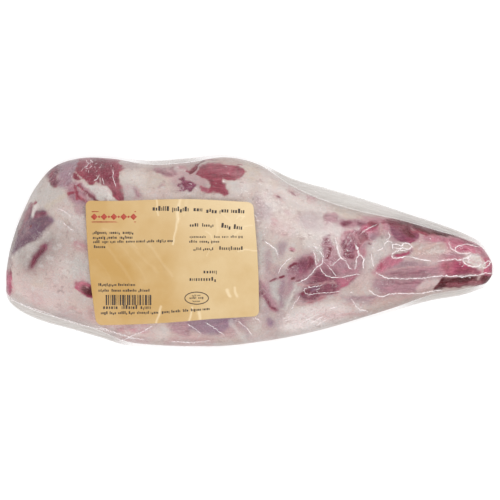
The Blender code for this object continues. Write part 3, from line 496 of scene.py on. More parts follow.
    ("crimson", 0.9, 1.4, 30, 0, ((75.5, 12.3), (79, 13.5), (83, 13.5), (87, 15.5), (86.5, 17.8), (81, 17.3), (77.5, 15.5))),
    ("lean", 1.0, 1.3, -20, 0, ((80, 22), (84, 22.5), (88.5, 20.8), (89, 18), (85, 16.6), (81.5, 18))),
    ("lean_dark", 0.8, 0.9, -20, 0, ((82, 21.8), (85, 21), (87, 19.3), (85.5, 18), (83, 19.3))),
    ("tan", 0.5, 1.2, 80, 1.4, ((90, 18.5), (90.5, 12))),
    ("lean_dark", 1.0, 0.9, 60, 0, ((65, 13.8), (69, 13.8), (70, 11.5), (67, 10.5), (65, 11.5))),
    ("lean", 1.0, 0.9, 60, 0.8, ((70.5, 13.3), (72.3, 14.6))),
    ("lean", 1.0, 1.2, 60, 0, ((69.8, 10), (73, 11.5), (75, 10), (79, 9.5), (80.5, 8.3), (77.5, 5.5), (76.5, 1.8), (74.5, 3.5), (72, 3), (70, 6))),
    ("rose", 0.5, 3, 60, 0, ((63, 14), (68, 15.5), (77, 15), (84, 12), (80, 3), (77, -4), (71, -7), (65, -3), (62, 5))),
    ("plum", 0.8, 2.5, 60, 0, ((64.5, 10), (68, 14), (74, 14), (79, 11), (80, 7), (76, 3), (72, 0), (69, -5), (65.5, -3), (63.5, 4))),
    ("plum", 1.0, 1.3, 60, 0, ((63.2, 4), (63.5, 8), (65.5, 9), (68.5, 8), (70, 4), (71.5, 0), (72, -4), (70, -6), (66.5, -5), (64, -1))),
    ("lean_dark", 0.75, 1.8, 60, 0, ((70.5, 14), (76, 15.5), (80, 14), (82, 10), (80, 6), (76, 4), (72, 7))),
    ("lean_dark", 0.8, 1.5, 60, 1.6, ((64.8, 4), (66.5, -1), (69.5, -4))),
    ("rose", 0.6, 0.9, 60, 0.6, ((71, 15.5), (73.5, 10), (75.5, 5))),
    ("shade", 0.6, 1.0, 60, 0.9, ((66.5, 8), (67, 5))),
    ("mauve", 0.7, 1.2, 60, 1.4, ((75, -4.5), (76.5, -8), (76, -11))),
    ("rose", 0.7, 1.0, 60, 0.9, ((79.5, 2), (79, -2), (77.8, -3.5))),
    ("lilac", 0.65, 1.5, 60, 0, ((77.5, 5.5), (80, 8), (82, 6), (79.5, 2.5), (77, 2))),
    ("lilac", 0.7, 1.4, 0, 0, ((81, 12), (86, 13), (87, 9), (82, 8.5))),
    ("white", 0.75, 3, 60, 0, ((82, 7), (88, 9.5), (94, 8), (97, 3), (94, -3), (87, -4), (84, -12), (80.5, -14), (80, -6), (82, 2))),
    ("cool", 0.5, 2, 60, 0, ((86, 9), (92, 9), (95, 4), (90, 3))),
    ("dusky", 1.0, 0.6, 0, 0.7, ((82.3, 5.6), (82.9, 5.1))),
    ("shade", 0.6, 0.8, 0, 0.7, ((89.8, 10.5), (89.9, 9.7))),
    # under the joint
    ("blush", 0.6, 3, 0, 0, ((78, -14), (85, -14), (87, -26), (80, -28), (74, -24), (72, -20))),
    ("tan", 0.4, 2.5, 0, 0, ((66, -25), (76, -21), (82, -22), (82, -29), (70, -29))),
    ("lilac", 0.6, 2.5, 5, 0, ((60, -31), (72, -29.5), (90, -30), (93, -35), (84, -38), (68, -36))),
    ("mauve", 0.45, 1.6, 5, 1.8, ((70, -31.5), (80, -32.5), (90, -32))),
    ("mauve", 0.6, 1.0, 60, 0.8, ((82.5, -32.5), (85, -34.5))),
    ("bright", 0.9, 4, 0, 0, ((24, -45), (32, -41), (48, -37), (60, -36), (70, -40), (60, -50), (34, -57), (20, -56))),
    ("blush", 0.6, 3, 5, 0, ((46, -42), (60, -38), (76, -38), (84, -42), (66, -48), (50, -50))),
    ("flush", 0.45, 1.2, 3, 0.9, ((62, -35), (68, -35.8), (76, -37.5))),
    ("flush", 0.3, 2.0, 12, 1.6, ((46, -46), (58, -43.5), (70, -42.5))),
    ("flush", 0.45, 1.2, 3, 0.8, ((63, -43.5), (72, -43.8), (82, -42.8))),
    ("tan", 0.4, 1.5, 10, 1.0, ((22, -49), (30, -47.5))),
    ("tan", 0.95, 3, 0, 0, ((84, -33), (96, -27), (130, -25), (146, -23), (146, -34), (100, -43), (82, -46))),
    ("mauve", 0.4, 2.5, 5, 0, ((84, -28), (100, -26), (120, -26), (118, -30), (96, -34), (84, -34))),
    ("grey", 0.5, 2, 8, 1.2, ((86, -39.5), (100, -36.5), (114, -33))),
    # shank
    ("rose", 0.5, 4, -8, 0, ((112, 19), (140, 11), (160, 3), (168, -6), (160, -6), (146, -5), (134, -6), (126, 2), (112, 6))),
    ("mauve", 0.75, 1.6, 5, 0, ((94, 19), (104, 18), (104, 7), (98, 7), (95, 12))),
    ("plum", 1.0, 1.3, 5, 0, ((96.5, 19), (104, 19.5), (113, 18), (117, 14), (115, 8), (111.5, 5.5), (108, 6), (103, 7.3), (99.5, 8.5), (96.5, 13))),
    ("violet", 0.25, 2, 5, 0, ((97, 17), (103, 16), (105, 10), (101, 8.5), (97, 11.5))),
    ("lean_light", 0.8, 1.0, -5, 1.1, ((91, 20.5), (97, 20.8), (104, 19.5))),
    ("lean", 0.7, 1.0, -5, 0, ((98, 19), (106, 19), (113, 18), (117, 14.5), (113, 15), (106, 16.5), (100, 17))),
    ("maroon", 0.85, 1.4, -40, 0, ((103.5, 16.5), (107, 17), (111, 15.5), (113.5, 12), (112, 9), (109, 11), (106.5, 13.5))),
    ("blood", 0.5, 1.2, -40, 1.0, ((104, 15.5), (108, 14.5), (111.5, 11))),
    ("crimson", 0.5, 1.2, 5, 1.6, ((108, 9.5), (112, 7))),
    # The maroon, dark lean and blood lines below, along the shank's upper edge, are partly blood and partly painted
    # shade of the gap where the film leaves the meat.
    ("maroon", 0.95, 0.6, -10, 0.4, ((94, 22.2), (99, 21), (104.5, 20.1))),
    ("lean", 0.95, 1.0, -18, 1.9, ((112, 16), (118, 15), (124, 12.8), (130, 11))),
    ("lean_dark", 0.85, 1.4, -12, 2.6, ((97, 20.5), (106, 19.5), (114, 17.8))),
    ("maroon", 0.95, 1.0, -18, 1.5, ((104, 20), (112, 18.6), (120, 16.6), (126, 14.6), (132, 12.6), (142, 9.6))),
    ("blood", 0.85, 0.8, -20, 1.2, ((113, 18), (119, 16.3), (126, 14.2), (133, 11.9), (139, 10.2))),
    ("flush", 0.6, 0.7, -25, 0.4, ((110, 16.5), (113.5, 15), (118, 12.5))),
    ("rose", 1.0, 1.4, -14, 0, ((118, 12), (126, 12), (136, 10.3), (146, 9.5), (156, 6.5), (163, 0), (156, -1), (150, 1), (145, -1.5), (140, 1), (135, 3), (133, 7), (124, 8.5))),
    ("mauve", 0.5, 1.2, -14, 1.0, ((120, 10.5), (126, 9.5), (131, 8.3))),
    ("crimson", 0.9, 1.1, -10, 0, ((141.5, 3.8), (146, 3), (150.5, 2.8), (149.5, 0), (145, -1), (142, 0.8))),
    ("crimson", 0.6, 1.1, -14, 0.9, ((137, 8), (143, 6.8), (149, 6.3))),
    ("maroon", 0.9, 0.7, -20, 0.5, ((139, 10.4), (146, 8.2), (152, 6), (156.5, 4.2))),
    ("tan", 0.85, 1.8, 8, 0, ((110, 3.5), (114, 6), (119, 7), (126, 6.5), (132, 5.5), (135, 3), (135, 0), (131, -3), (124, -3.3), (117, -2), (112, -0.5))),
    ("cool", 0.35, 1.5, 8, 0, ((120, 1), (126, 3), (133, 3), (135, 1), (132, -2), (124, -1.5))),
    ("shade", 0.35, 0.9, 15, 0.5, ((117, -0.5), (124, 2), (132, 5))),
    ("shade", 0.3, 0.9, 15, 0.5, ((113, 4), (120, 6), (127, 7))),
    ("blush", 0.6, 0.8, 12, 0.6, ((115, 3.2), (122, 5), (130, 6.5))),
    ("mauve", 0.75, 3, 3, 0, ((86, -16), (97, -4), (112, -2), (135, -4), (150, -8), (160, -14), (150, -17), (132, -19), (126, -26), (104, -30), (88, -29), (82, -22))),
    ("lilac", 0.5, 1.5, 0, 0, ((96, -5), (108, -4.5), (124, -5.5), (134, -6.5), (133, -9), (118, -10.3), (100, -11.3), (93, -11.5))),
    ("blush", 0.7, 2, 0, 0, ((104, -4), (112, -3), (128, -3.5), (131, -6.5), (128, -10), (118, -8), (106, -6.5))),
    ("mauve", 0.95, 1.2, 2, 0, ((92, -14), (100, -12.8), (118, -11.4), (132, -10.8), (133, -15.8), (120, -17.3), (104, -18.3), (95, -17.5))),
    ("flush", 0.6, 0.8, 3, 0.6, ((97, -12.2), (112, -11.3), (132, -10))),
    ("mauve", 0.95, 1.6, 2, 0, ((90, -19.5), (104, -19.3), (120, -18.5), (124, -20), (121, -25.5), (112, -28), (98, -29), (88, -29))),
    ("lilac", 0.35, 2.5, 10, 0, ((84, -19), (92, -19.5), (93, -25), (88, -28.5), (83, -25))),
    ("blush", 0.85, 1.6, 2, 0, ((117, -20.5), (124, -18.5), (130, -18), (128, -24), (122, -27), (112, -28.5))),
    ("dusky", 0.6, 1.0, 0, 0.8, ((98, -21.5), (108, -22), (116, -21.5))),
    ("dusky", 0.6, 1.0, 0, 0.8, ((97, -15.5), (108, -15.7), (120, -14.5))),
    ("rose", 1.0, 2.2, 40, 0, ((84, -15), (87, -8), (92, -4), (99, -2), (107, -4.5), (99, -9), (93, -12), (89, -15.5))),
    ("crimson", 0.12, 1.8, 40, 0, ((85.8, -13.8), (88, -8.5), (92, -5), (98, -3.5), (104, -4.8), (98, -8.3), (93, -11), (89, -14))),
    ("rose", 0.6, 1.6, 40, 0, ((94, -3), (99, -4), (105, -5.5), (99, -8), (95, -7))),
    ("lean", 0.6, 0.9, 55, 0.7, ((88.3, -12.5), (90.5, -8))),
    ("mauve", 0.9, 1.0, 5, 0, ((98, -2), (103, -0.3), (108, 1), (111.5, 3.8), (111.5, 0), (107, -3), (99, -3.8))),
    ("crimson", 0.8, 0.9, 8, 0.9, ((99.5, -2.3), (104, -1.6), (108, -0.5))),
    ("mauve", 0.9, 1.3, -10, 0, ((133, 0), (139, -0.5), (145, -2.5), (147, -4.5), (140, -4.8), (132, -4.3))),
    ("rose", 1.0, 2.2, -8, 0, ((129, -8), (133, -3), (142, -3.5), (152, -9), (160, -13), (158, -17), (143, -17), (131, -17))),
    ("crimson", 1.0, 2.0, -8, 0, ((131.8, -8), (134.5, -6.5), (141, -6.3), (146, -8), (150, -10), (156, -12.3), (158.5, -15.5), (150, -16.3), (143, -16.8), (135, -16.8), (132, -12))),
    ("plum", 0.45, 2.5, -8, 0, ((139, -11), (148, -12), (156, -14), (154, -17), (142, -17))),
    ("lean", 0.8, 1.0, 80, 1.1, ((134.5, -9), (135, -11.3), (133.5, -12.5))),
    ("lean", 0.75, 1.1, -8, 1.1, ((143, -13.3), (148, -13), (152, -13.8))),
    ("maroon", 1.0, 1.1, 5, 0, ((124.5, -28.5), (128.5, -23), (131.5, -19), (134.5, -17.3), (141, -17.5), (153, -16.8), (161, -16), (168, -15.8), (168, -20.5), (163, -23), (158, -24), (147, -24.5), (137, -25.5))),
    ("blood", 1.0, 1.6, 5, 0, ((127.5, -27), (130.5, -21.5), (132.8, -17.8), (141, -17.7), (150, -17.2), (156, -17.5), (156, -20.5), (146, -21.5), (138, -22.5), (133, -27))),
    ("lean", 0.7, 1.2, 3, 1.0, ((136, -23.7), (145, -22.8), (154, -22.3), (160, -22))),
    ("flush", 0.7, 0.9, 60, 0.8, ((156.5, -17), (156, -20))),
    ("blood", 0.6, 1.2, 0, 1.6, ((160, -18.5), (165.5, -18))),
    ("white", 1.0, 1.4, 0, 0, ((149.5, -2.5), (153, -0.8), (157, -1.5), (160, -4.5), (160.3, -9), (158.5, -12.5), (155, -11.3), (151, -9.5), (147.5, -7), (147, -4.5))),
    ("rose", 0.6, 1.8, -30, 0, ((149, 3), (157, 3), (162, -2), (164.5, -8), (161, -6), (156, -0.5), (150, 0))),
    ("lilac", 0.5, 0.9, 0, 0.6, ((150, -1.8), (156, -2.2), (161, -2.5))),
    ("rose", 0.5, 0.9, -30, 0.5, ((149, -5.5), (154, -7.5), (160, -7.5))),
    ("tan", 0.5, 0.9, -30, 0.5, ((151, -9), (156, -5), (161, -4.5))),
    ("crimson", 1.0, 1.2, 80, 0, ((161, -2), (168, -2), (168, -17), (160, -17), (161, -12), (163, -8))),
    ("rose", 0.6, 1.0, 60, 0.8, ((160.5, 0), (163.5, -4), (165, -8))),
    ("hollow", 0.7, 1.5, 0, 0.8, ((88, -16), (95, -18.5), (112, -18.5), (130, -17.2), (150, -16.8))),
)

# Marks on the side that lies down, by the same rules.
LOWER_MARKS = (
    ("white", 0.7, 10, 0, 0, ((-120, -40), (-60, -50), (0, -40), (10, 10), (-60, 30), (-130, 20))),
    ("grey", 0.6, 9, 0, 0, ((-158, -30), (-120, -10), (-112, 20), (-150, 10))),
    ("mauve", 0.7, 5, 15, 0, ((-152, 30), (-120, 47), (-92, 42), (-98, 20), (-130, 8), (-154, 12))),
    ("lean", 1.0, 2.5, 20, 0, ((-147, 27), (-122, 41), (-102, 35), (-112, 22), (-136, 13))),
    ("lean_light", 0.6, 2.5, 20, 2.0, ((-142, 22), (-124, 30), (-108, 30))),
    ("lean_dark", 0.6, 2.0, 20, 1.4, ((-136, 26), (-118, 35))),
    ("flush", 0.55, 8, 0, 0, ((-90, -10), (-50, -20), (-10, -12), (-14, 14), (-60, 16), (-92, 8))),
    ("lilac", 0.6, 5, -15, 0, ((-62, 50), (-20, 55), (12, 46), (8, 32), (-30, 36), (-60, 38))),
    ("lean", 1.0, 2, -15, 0, ((-44, 50), (-14, 53), (5, 46), (-10, 40), (-36, 42))),
    ("plum", 0.6, 2, -15, 2.2, ((-36, 47), (-12, 47), (0, 44))),
    ("cream", 0.6, 8, 0, 0, ((-130, -40), (-90, -52), (-50, -56), (-60, -42), (-100, -34), (-132, -28))),
    ("blush", 0.7, 6, 0, 0, ((-40, -20), (0, -30), (20, -46), (-20, -58), (-60, -50))),
    ("skin", 0.8, 3, 20, 0, ((-108, -20), (-92, -18), (-74, -26), (-84, -34), (-104, -30))),
    ("mauve", 0.7, 4, 5, 0, ((18, 34), (50, 29), (82, 18), (80, 0), (44, 4), (18, 16))),
    ("lean", 1.0, 2, 8, 0, ((28, 27), (54, 23), (76, 14), (70, 5), (44, 10), (26, 18))),
    ("crimson", 0.7, 2.5, 8, 2.5, ((40, 18), (60, 13), (72, 9))),
    ("blush", 0.9, 1.5, 8, 0.9, ((32, 21), (54, 16), (74, 8))),
    ("lean", 1.0, 2, -5, 0, ((24, -20), (60, -22), (96, -20), (92, -30), (58, -36), (26, -34))),
    ("plum", 0.7, 2.5, -5, 2.5, ((34, -30), (60, -31), (80, -27))),
    ("white", 0.9, 1.5, -5, 1.4, ((34, -24), (60, -27), (84, -25))),
    ("crimson", 1.0, 2.5, 0, 0, ((96, 8), (124, 6), (150, -2), (160, -10), (130, -8), (100, -3))),
    ("mauve", 0.9, 2.0, 0, 0, ((94, -10), (124, -12), (152, -14), (142, -24), (104, -28), (92, -20))),
    ("lilac", 0.6, 1.5, -3, 1.6, ((100, -17), (126, -18), (146, -18))),
    ("tan", 0.9, 2, 0, 0, ((96, 1), (112, 2), (128, -2), (124, -9), (104, -9))),
    ("white", 0.95, 2, 0, 1.8, ((98, -4), (126, -7), (158, -12))),
)


def distance_to(points, line, closed):
    """How far places in plan are from a line of points, less than 0 inside a closed one."""
    line = np.asarray(line, float)
    if closed:  # round the corners once, as a knife or a muscle does
        after = np.roll(line, -1, axis=0)
        line = np.stack([line * 0.75 + after * 0.25, line * 0.25 + after * 0.75], axis=1).reshape(-1, 2)
        ends = np.roll(line, -1, axis=0)
    else:
        line, ends = line[:-1], line[1:]
    nearest = np.full(len(points), 1e9)
    inside = np.zeros(len(points), bool)
    x, y = points.T
    for (ax, ay), (bx, by) in zip(line, ends):
        long = max((bx - ax) ** 2 + (by - ay) ** 2, 1e-9)
        share = np.clip(((x - ax) * (bx - ax) + (y - ay) * (by - ay)) / long, 0, 1)
        nearest = np.minimum(nearest, np.hypot(x - ax - share * (bx - ax), y - ay - share * (by - ay)))
        if closed and ay != by:
            inside ^= ((ay > y) != (by > y)) & (x < (bx - ax) * (y - ay) / (by - ay) + ax)
    return np.where(inside, -nearest, nearest)


FIBRE_WAYS = np.radians((0, 60, 120))


def paint(places, marks, waver, tones):
    """Paints marks over places in plan. Gives the colour of the fat and of the flesh, the share of each of the
    three fibre directions, and how far each place is flesh, how fibrous and how hollow it is."""
    wandering = places + waver
    fat, flesh = (np.tile(np.array(tones[name], float), (len(places), 1)) for name in ("fat", "lean"))
    fibres = np.tile((1.0, 0.0, 0.0), (len(places), 1))
    fleshy, fibrous, hollow = (np.zeros(len(places)) for _ in range(3))
    for tone, strength, soft, run, half_width, points in marks:
        xs, ys = zip(*points)
        reach = half_width + soft + 4
        near = np.flatnonzero(
            (places[:, 0] > min(xs) - reach) & (places[:, 0] < max(xs) + reach)
            & (places[:, 1] > min(ys) - reach) & (places[:, 1] < max(ys) + reach)
        )
        away = distance_to(wandering[near], points, half_width == 0) - half_width
        cover = eased(0.5 - away / (2 * soft)) * strength
        if tone == "hollow":
            hollow[near] = np.maximum(hollow[near], cover)
            continue
        colour = np.array(tones[tone], float)
        if tone in FLESH_TONES:
            wide = eased(0.5 - (away - 1.2) / (2 * soft)) * (1 - fleshy[near])
            flesh[near] += (colour - flesh[near]) * np.maximum(cover, wide)[:, None]
            fleshy[near] = np.maximum(fleshy[near], cover)
        else:
            fat[near] += (colour - fat[near]) * cover[:, None]
            fleshy[near] *= 1 - cover
        if tone in FLESH_TONES or tone in FIBRED_TONES:
            ways = np.maximum(np.cos(2 * (math.radians(run) - FIBRE_WAYS)), 0)
            fibres[near] += (ways / ways.sum() - fibres[near]) * cover[:, None]
        fibrous[near] += (FIBRED_TONES.get(tone, 1.0 if tone in FLESH_TONES else 0.0) - fibrous[near]) * cover
    return fat, flesh, fibres, fleshy, fibrous, hollow


# ----------------------------------------------------------------------------------------------- node helpers

def node(tree, kind, settings=None, **inputs):
    """Adds a shader node. An input named with _ for each space takes a value or another node's socket, and one
    named i0, i1 and so on is taken by its number."""
    made = tree.nodes.new("ShaderNode" + kind)
    for name, value in (settings or {}).items():
        setattr(made, name, value)
    for name, value in inputs.items():
        by_number = name[0] == "i" and name[1:].isdigit()
        socket = made.inputs[int(name[1:])] if by_number else made.inputs[name.replace("_", " ")]
        if isinstance(value, bpy.types.NodeSocket):
            tree.links.new(value, socket)
        else:
            socket.default_value = value
    return made


def calc(tree, operation, a, b=0.0, c=0.0, clamp=False):
    return node(tree, "Math", {"operation": operation, "use_clamp": clamp}, i0=a, i1=b, i2=c).outputs[0]


def blend(tree, share, a, b, mode="MIX"):
    """One colour over another by a share."""
    made = node(tree, "Mix", {"data_type": "RGBA", "blend_type": mode, "clamp_factor": True}, i0=share)
    for socket, value in ((made.inputs[6], a), (made.inputs[7], b)):
        if isinstance(value, bpy.types.NodeSocket):
            tree.links.new(value, socket)
        else:
            socket.default_value = (*value, 1.0)
    return made.outputs[2]


def stretch(tree, value, low, high, out_low=0.0, out_high=1.0, smooth=True):
    kind = "SMOOTHSTEP" if smooth else "LINEAR"
    return node(tree, "MapRange", {"interpolation_type": kind}, Value=value, From_Min=low, From_Max=high,
                To_Min=out_low, To_Max=out_high).outputs[0]


def attribute(tree, name):
    return node(tree, "Attribute", {"attribute_name": name}).outputs["Fac"]


def new_group(name, inputs, outputs):
    """An empty node group with number inputs (name and default) and outputs (name and kind)."""
    tree = bpy.data.node_groups.new(name, "ShaderNodeTree")
    for title, value in inputs:
        kind = "NodeSocketVector" if value is None else "NodeSocketFloat"
        socket = tree.interface.new_socket(title, in_out="INPUT", socket_type=kind)
        if value is not None:
            socket.default_value = value
    for title, kind in outputs:
        tree.interface.new_socket(title, in_out="OUTPUT", socket_type=kind)
    return tree, tree.nodes.new("NodeGroupInput"), tree.nodes.new("NodeGroupOutput")


def speckle_group():
    """Noise at a size in millimetres, made stronger or weaker round its middle."""
    found = bpy.data.node_groups.get("speckle")
    if found:
        return found
    tree, given, result = new_group(
        "speckle", (("Place", None), ("Size", 5.0), ("Contrast", 1.0), ("Detail", 3.0)), (("Value", "NodeSocketFloat"),)
    )
    scale = calc(tree, "DIVIDE", 1000.0, given.outputs["Size"])
    noise = node(tree, "TexNoise", Vector=given.outputs["Place"], Scale=scale, Detail=given.outputs["Detail"])
    centred = calc(tree, "SUBTRACT", noise.outputs["Fac"], 0.5)
    value = calc(tree, "MULTIPLY_ADD", centred, given.outputs["Contrast"], 0.5, clamp=True)
    tree.links.new(value, result.inputs["Value"])
    return tree


def ragged_edge_group():
    """Turns a soft painted value into a patch whose edge is broken up by noise."""
    found = bpy.data.node_groups.get("ragged_edge")
    if found:
        return found
    tree, given, result = new_group(
        "ragged_edge", (("Value", 0.0), ("Noise", 0.5), ("Raggedness", 0.4), ("Width", 0.3)), (("Mask", "NodeSocketFloat"),)
    )
    centred = calc(tree, "SUBTRACT", given.outputs["Noise"], 0.5)
    moved = calc(tree, "MULTIPLY_ADD", centred, given.outputs["Raggedness"], given.outputs["Value"])
    half = calc(tree, "MULTIPLY", given.outputs["Width"], 0.5)
    mask = stretch(tree, moved, calc(tree, "SUBTRACT", 0.5, half), calc(tree, "ADD", 0.5, half))
    tree.links.new(mask, result.inputs["Mask"])
    return tree


def speckle(tree, place, size, contrast=1.0, detail=3.0):
    made = node(tree, "Group", {"node_tree": speckle_group()}, Place=place, Size=size, Contrast=contrast, Detail=detail)
    return made.outputs["Value"]


def ragged(tree, value, noise, raggedness, width):
    made = node(tree, "Group", {"node_tree": ragged_edge_group()}, Value=value, Noise=noise, Raggedness=raggedness, Width=width)
    return made.outputs["Mask"]


def new_material(name):
    """An empty material with a Principled shader, and its tree, shader and output."""
    material = bpy.data.materials.new(name)
    material.use_nodes = True
    tree = material.node_tree
    return material, tree, tree.nodes["Principled BSDF"], tree.nodes["Material Output"]


# -------------------------------------------------------------------------------------------------- materials

def meat_material(looks):
    """Raw lamb: the fat's painted tones with soft mottling, and over them flesh with fibres and a torn edge, all
    darkened along the meat's edge by painted shade.
    """
    material, tree, shader, _ = new_material("raw_lamb")
    place = node(tree, "TexCoord").outputs["Object"]
    broad = speckle(tree, place, 16, 1.7, 3)
    middle = speckle(tree, place, 5.5, 1.7, 4)
    fine = speckle(tree, place, 1.5, 1.6, 4)
    tiny = speckle(tree, place, 0.8, 1.4, 2)
    ways = node(tree, "SeparateXYZ", Vector=node(tree, "Attribute", {"attribute_name": "fibres"}).outputs["Vector"])
    fibre = 0.0
    for way, share in zip(FIBRE_WAYS, ways.outputs):
        turned = node(tree, "Mapping", {"vector_type": "TEXTURE"}, Vector=place, Rotation=(0, 0, way), Scale=(0.01, 0.00125, 0.00125))
        threads = node(tree, "TexNoise", Vector=turned.outputs["Vector"], Scale=1.0, Detail=3.0, Roughness=0.6, Distortion=0.4)
        fibre = calc(tree, "MULTIPLY_ADD", threads.outputs["Fac"], share, fibre)
    fibre = stretch(tree, fibre, 0.28, 0.72)
    cloudy = calc(tree, "MULTIPLY_ADD", calc(tree, "SUBTRACT", fine, 0.5), 0.5, middle, clamp=True)

    fat = node(tree, "Attribute", {"attribute_name": "fat"}).outputs["Color"]
    fat = blend(tree, stretch(tree, broad, 0.5, 1.0, 0, 0.35), fat, looks.blush)
    fibrous = attribute(tree, "fibrous")
    plain = stretch(tree, fibrous, 0.6, 0.0)
    fat = blend(tree, calc(tree, "MULTIPLY", stretch(tree, cloudy, 0.48, 0.1, 0, 0.6), plain), fat, looks.bright)
    fat = blend(tree, calc(tree, "MULTIPLY", stretch(tree, cloudy, 0.56, 0.95, 0, 0.48), plain), fat, looks.shade)
    fat = blend(tree, stretch(tree, fine, 0.72, 1.0, 0, 0.3), fat, looks.flush)
    vein = stretch(tree, calc(tree, "ABSOLUTE", calc(tree, "SUBTRACT", middle, 0.5)), 0.05, 0.0)
    fat = blend(tree, calc(tree, "MULTIPLY", vein, stretch(tree, broad, 0.35, 0.8, 0, 0.4)), fat, looks.flush)
    ridge = stretch(tree, calc(tree, "ABSOLUTE", calc(tree, "SUBTRACT", cloudy, 0.42)), 0.05, 0.0)
    fat = blend(tree, calc(tree, "MULTIPLY", ridge, stretch(tree, broad, 0.7, 0.2, 0, 0.45)), fat, looks.bright)
    flesh = node(tree, "Attribute", {"attribute_name": "flesh"}).outputs["Color"]
    flesh = blend(tree, stretch(tree, broad, 0.5, 0.9, 0, 0.4), flesh, looks.marbling)
    flesh = blend(tree, stretch(tree, middle, 0.4, 0.1, 0, 0.35), flesh, looks.lean_dark)
    torn = ragged(tree, attribute(tree, "fleshy"), cloudy, 0.6, 0.85)
    colour = blend(tree, torn, fat, flesh)
    streak = calc(tree, "MULTIPLY_ADD", fibre, 0.42, 0.79)
    colour = blend(tree, fibrous, colour, streak, "MULTIPLY")
    pale = calc(tree, "MULTIPLY", stretch(tree, fibre, 0.78, 1.0, 0, 0.3), fibrous)
    colour = blend(tree, pale, colour, looks.marbling)
    # Random mottling and the painted shade along the meat's edge, from the lit attribute, darken the colour together.
    mottle_and_rim_shade = calc(tree, "MULTIPLY_ADD", cloudy, 0.4, 0.65)
    mottle_and_rim_shade = calc(tree, "MULTIPLY", calc(tree, "MULTIPLY_ADD", tiny, 0.3, mottle_and_rim_shade), attribute(tree, "lit"))
    colour = blend(tree, 1.0, colour, mottle_and_rim_shade, "MULTIPLY")
    tree.links.new(colour, shader.inputs["Base Color"])

    tree.links.new(stretch(tree, torn, 0, 1, 0.5, 0.36), shader.inputs["Roughness"])
    height = calc(tree, "MULTIPLY", fibre, calc(tree, "MULTIPLY_ADD", fibrous, 0.5, 0.08))
    height = calc(tree, "MULTIPLY_ADD", cloudy, 0.7, height)
    bump = node(tree, "Bump", Strength=0.7, Distance=0.0008, Height=height)
    tree.links.new(bump.outputs["Normal"], shader.inputs["Normal"])
    shader.inputs["Specular IOR Level"].default_value = 0.06
    shader.inputs["Subsurface Weight"].default_value = 0.08
    shader.inputs["Subsurface Radius"].default_value = (0.003, 0.0014, 0.001)
    shader.inputs["Subsurface Scale"].default_value = 1.0
    return material


def film_material(looks):
    """Clear shrink film: a glossy skin that shows the meat through it, milky where it is doubled, and milky along its
    creases, partly the film's own whitening and partly a painted highlight.
    """
    material, tree, shader, output = new_material("shrink_film")
    place = node(tree, "TexCoord").outputs["Object"]
    web, crease = attribute(tree, "web"), attribute(tree, "crease")
    waves = speckle(tree, place, 9, 1.4, 2)
    fine = speckle(tree, place, 2.0, 1.5, 3)
    drawn = node(tree, "Mapping", Vector=place, Scale=(0.12, 1.0, 1.0), Rotation=(0, 0, math.radians(15)))
    streaks = speckle(tree, drawn.outputs["Vector"], 1.3, 2.0, 3)
    tree.links.new(blend(tree, web, looks.haze, looks.web), shader.inputs["Base Color"])
    shader.inputs["Roughness"].default_value = 0.3
    shader.inputs["Specular IOR Level"].default_value = 0.0

    milky = calc(tree, "MULTIPLY_ADD", stretch(tree, waves, 0.3, 0.9), 0.015, looks.clear_haze)
    milky_web = calc(tree, "MULTIPLY_ADD", streaks, 0.3, looks.web_haze - 0.15)
    milky = calc(tree, "ADD", milky, calc(tree, "MULTIPLY", web, milky_web))
    # Milky along the creases: partly the film's own whitening, partly painted highlight.
    milky = calc(tree, "ADD", milky, calc(tree, "MULTIPLY", crease, 0.14), clamp=True)
    height = calc(tree, "MULTIPLY_ADD", streaks, 0.25, waves)
    height = calc(tree, "MULTIPLY_ADD", fine, 0.12, height)
    bump = node(tree, "Bump", Strength=0.3, Distance=0.001, Height=height)
    tree.links.new(bump.outputs["Normal"], shader.inputs["Normal"])
    gloss = node(tree, "BsdfGlossy", Roughness=0.07, Normal=bump.outputs["Normal"])
    gloss.inputs["Color"].default_value = (1, 1, 1, 1)
    shine = node(tree, "Fresnel", IOR=1.3, Normal=bump.outputs["Normal"])
    clear = node(tree, "BsdfTransparent")
    body = node(tree, "MixShader", i0=milky, i1=clear.outputs[0], i2=shader.outputs[0])
    skin = node(tree, "MixShader", i0=calc(tree, "MINIMUM", shine.outputs[0], 0.2), i1=body.outputs[0], i2=gloss.outputs[0])
    tree.links.new(skin.outputs[0], output.inputs["Surface"])
    return material


def fold_and_glint_material(looks):
    """Film pinched into sharp folds: white along the ridge, partly the film's own whitening and partly a painted
    highlight, with a faint painted glow, glossy, and thin enough to show the meat at its ends.
    """
    material, tree, shader, _ = new_material("film_fold")
    place = node(tree, "TexCoord").outputs["Object"]
    broken = speckle(tree, place, 2.6, 2.2, 2)
    strength = attribute(tree, "strength")
    tree.links.new(blend(tree, strength, looks.faint_fold_and_glint, looks.fold), shader.inputs["Base Color"])
    shader.inputs["Roughness"].default_value = 0.22
    alpha = calc(tree, "MULTIPLY", strength, stretch(tree, broken, 0.15, 0.75, 0.45, 1.1), clamp=True)
    tree.links.new(alpha, shader.inputs["Alpha"])
    # Painted glow: the white of the folds gives off a little light of its own, as part of the painted highlight.
    tree.links.new(blend(tree, strength, (0, 0, 0), looks.fold), shader.inputs["Emission Color"])
    shader.inputs["Emission Strength"].default_value = 0.22
    return material


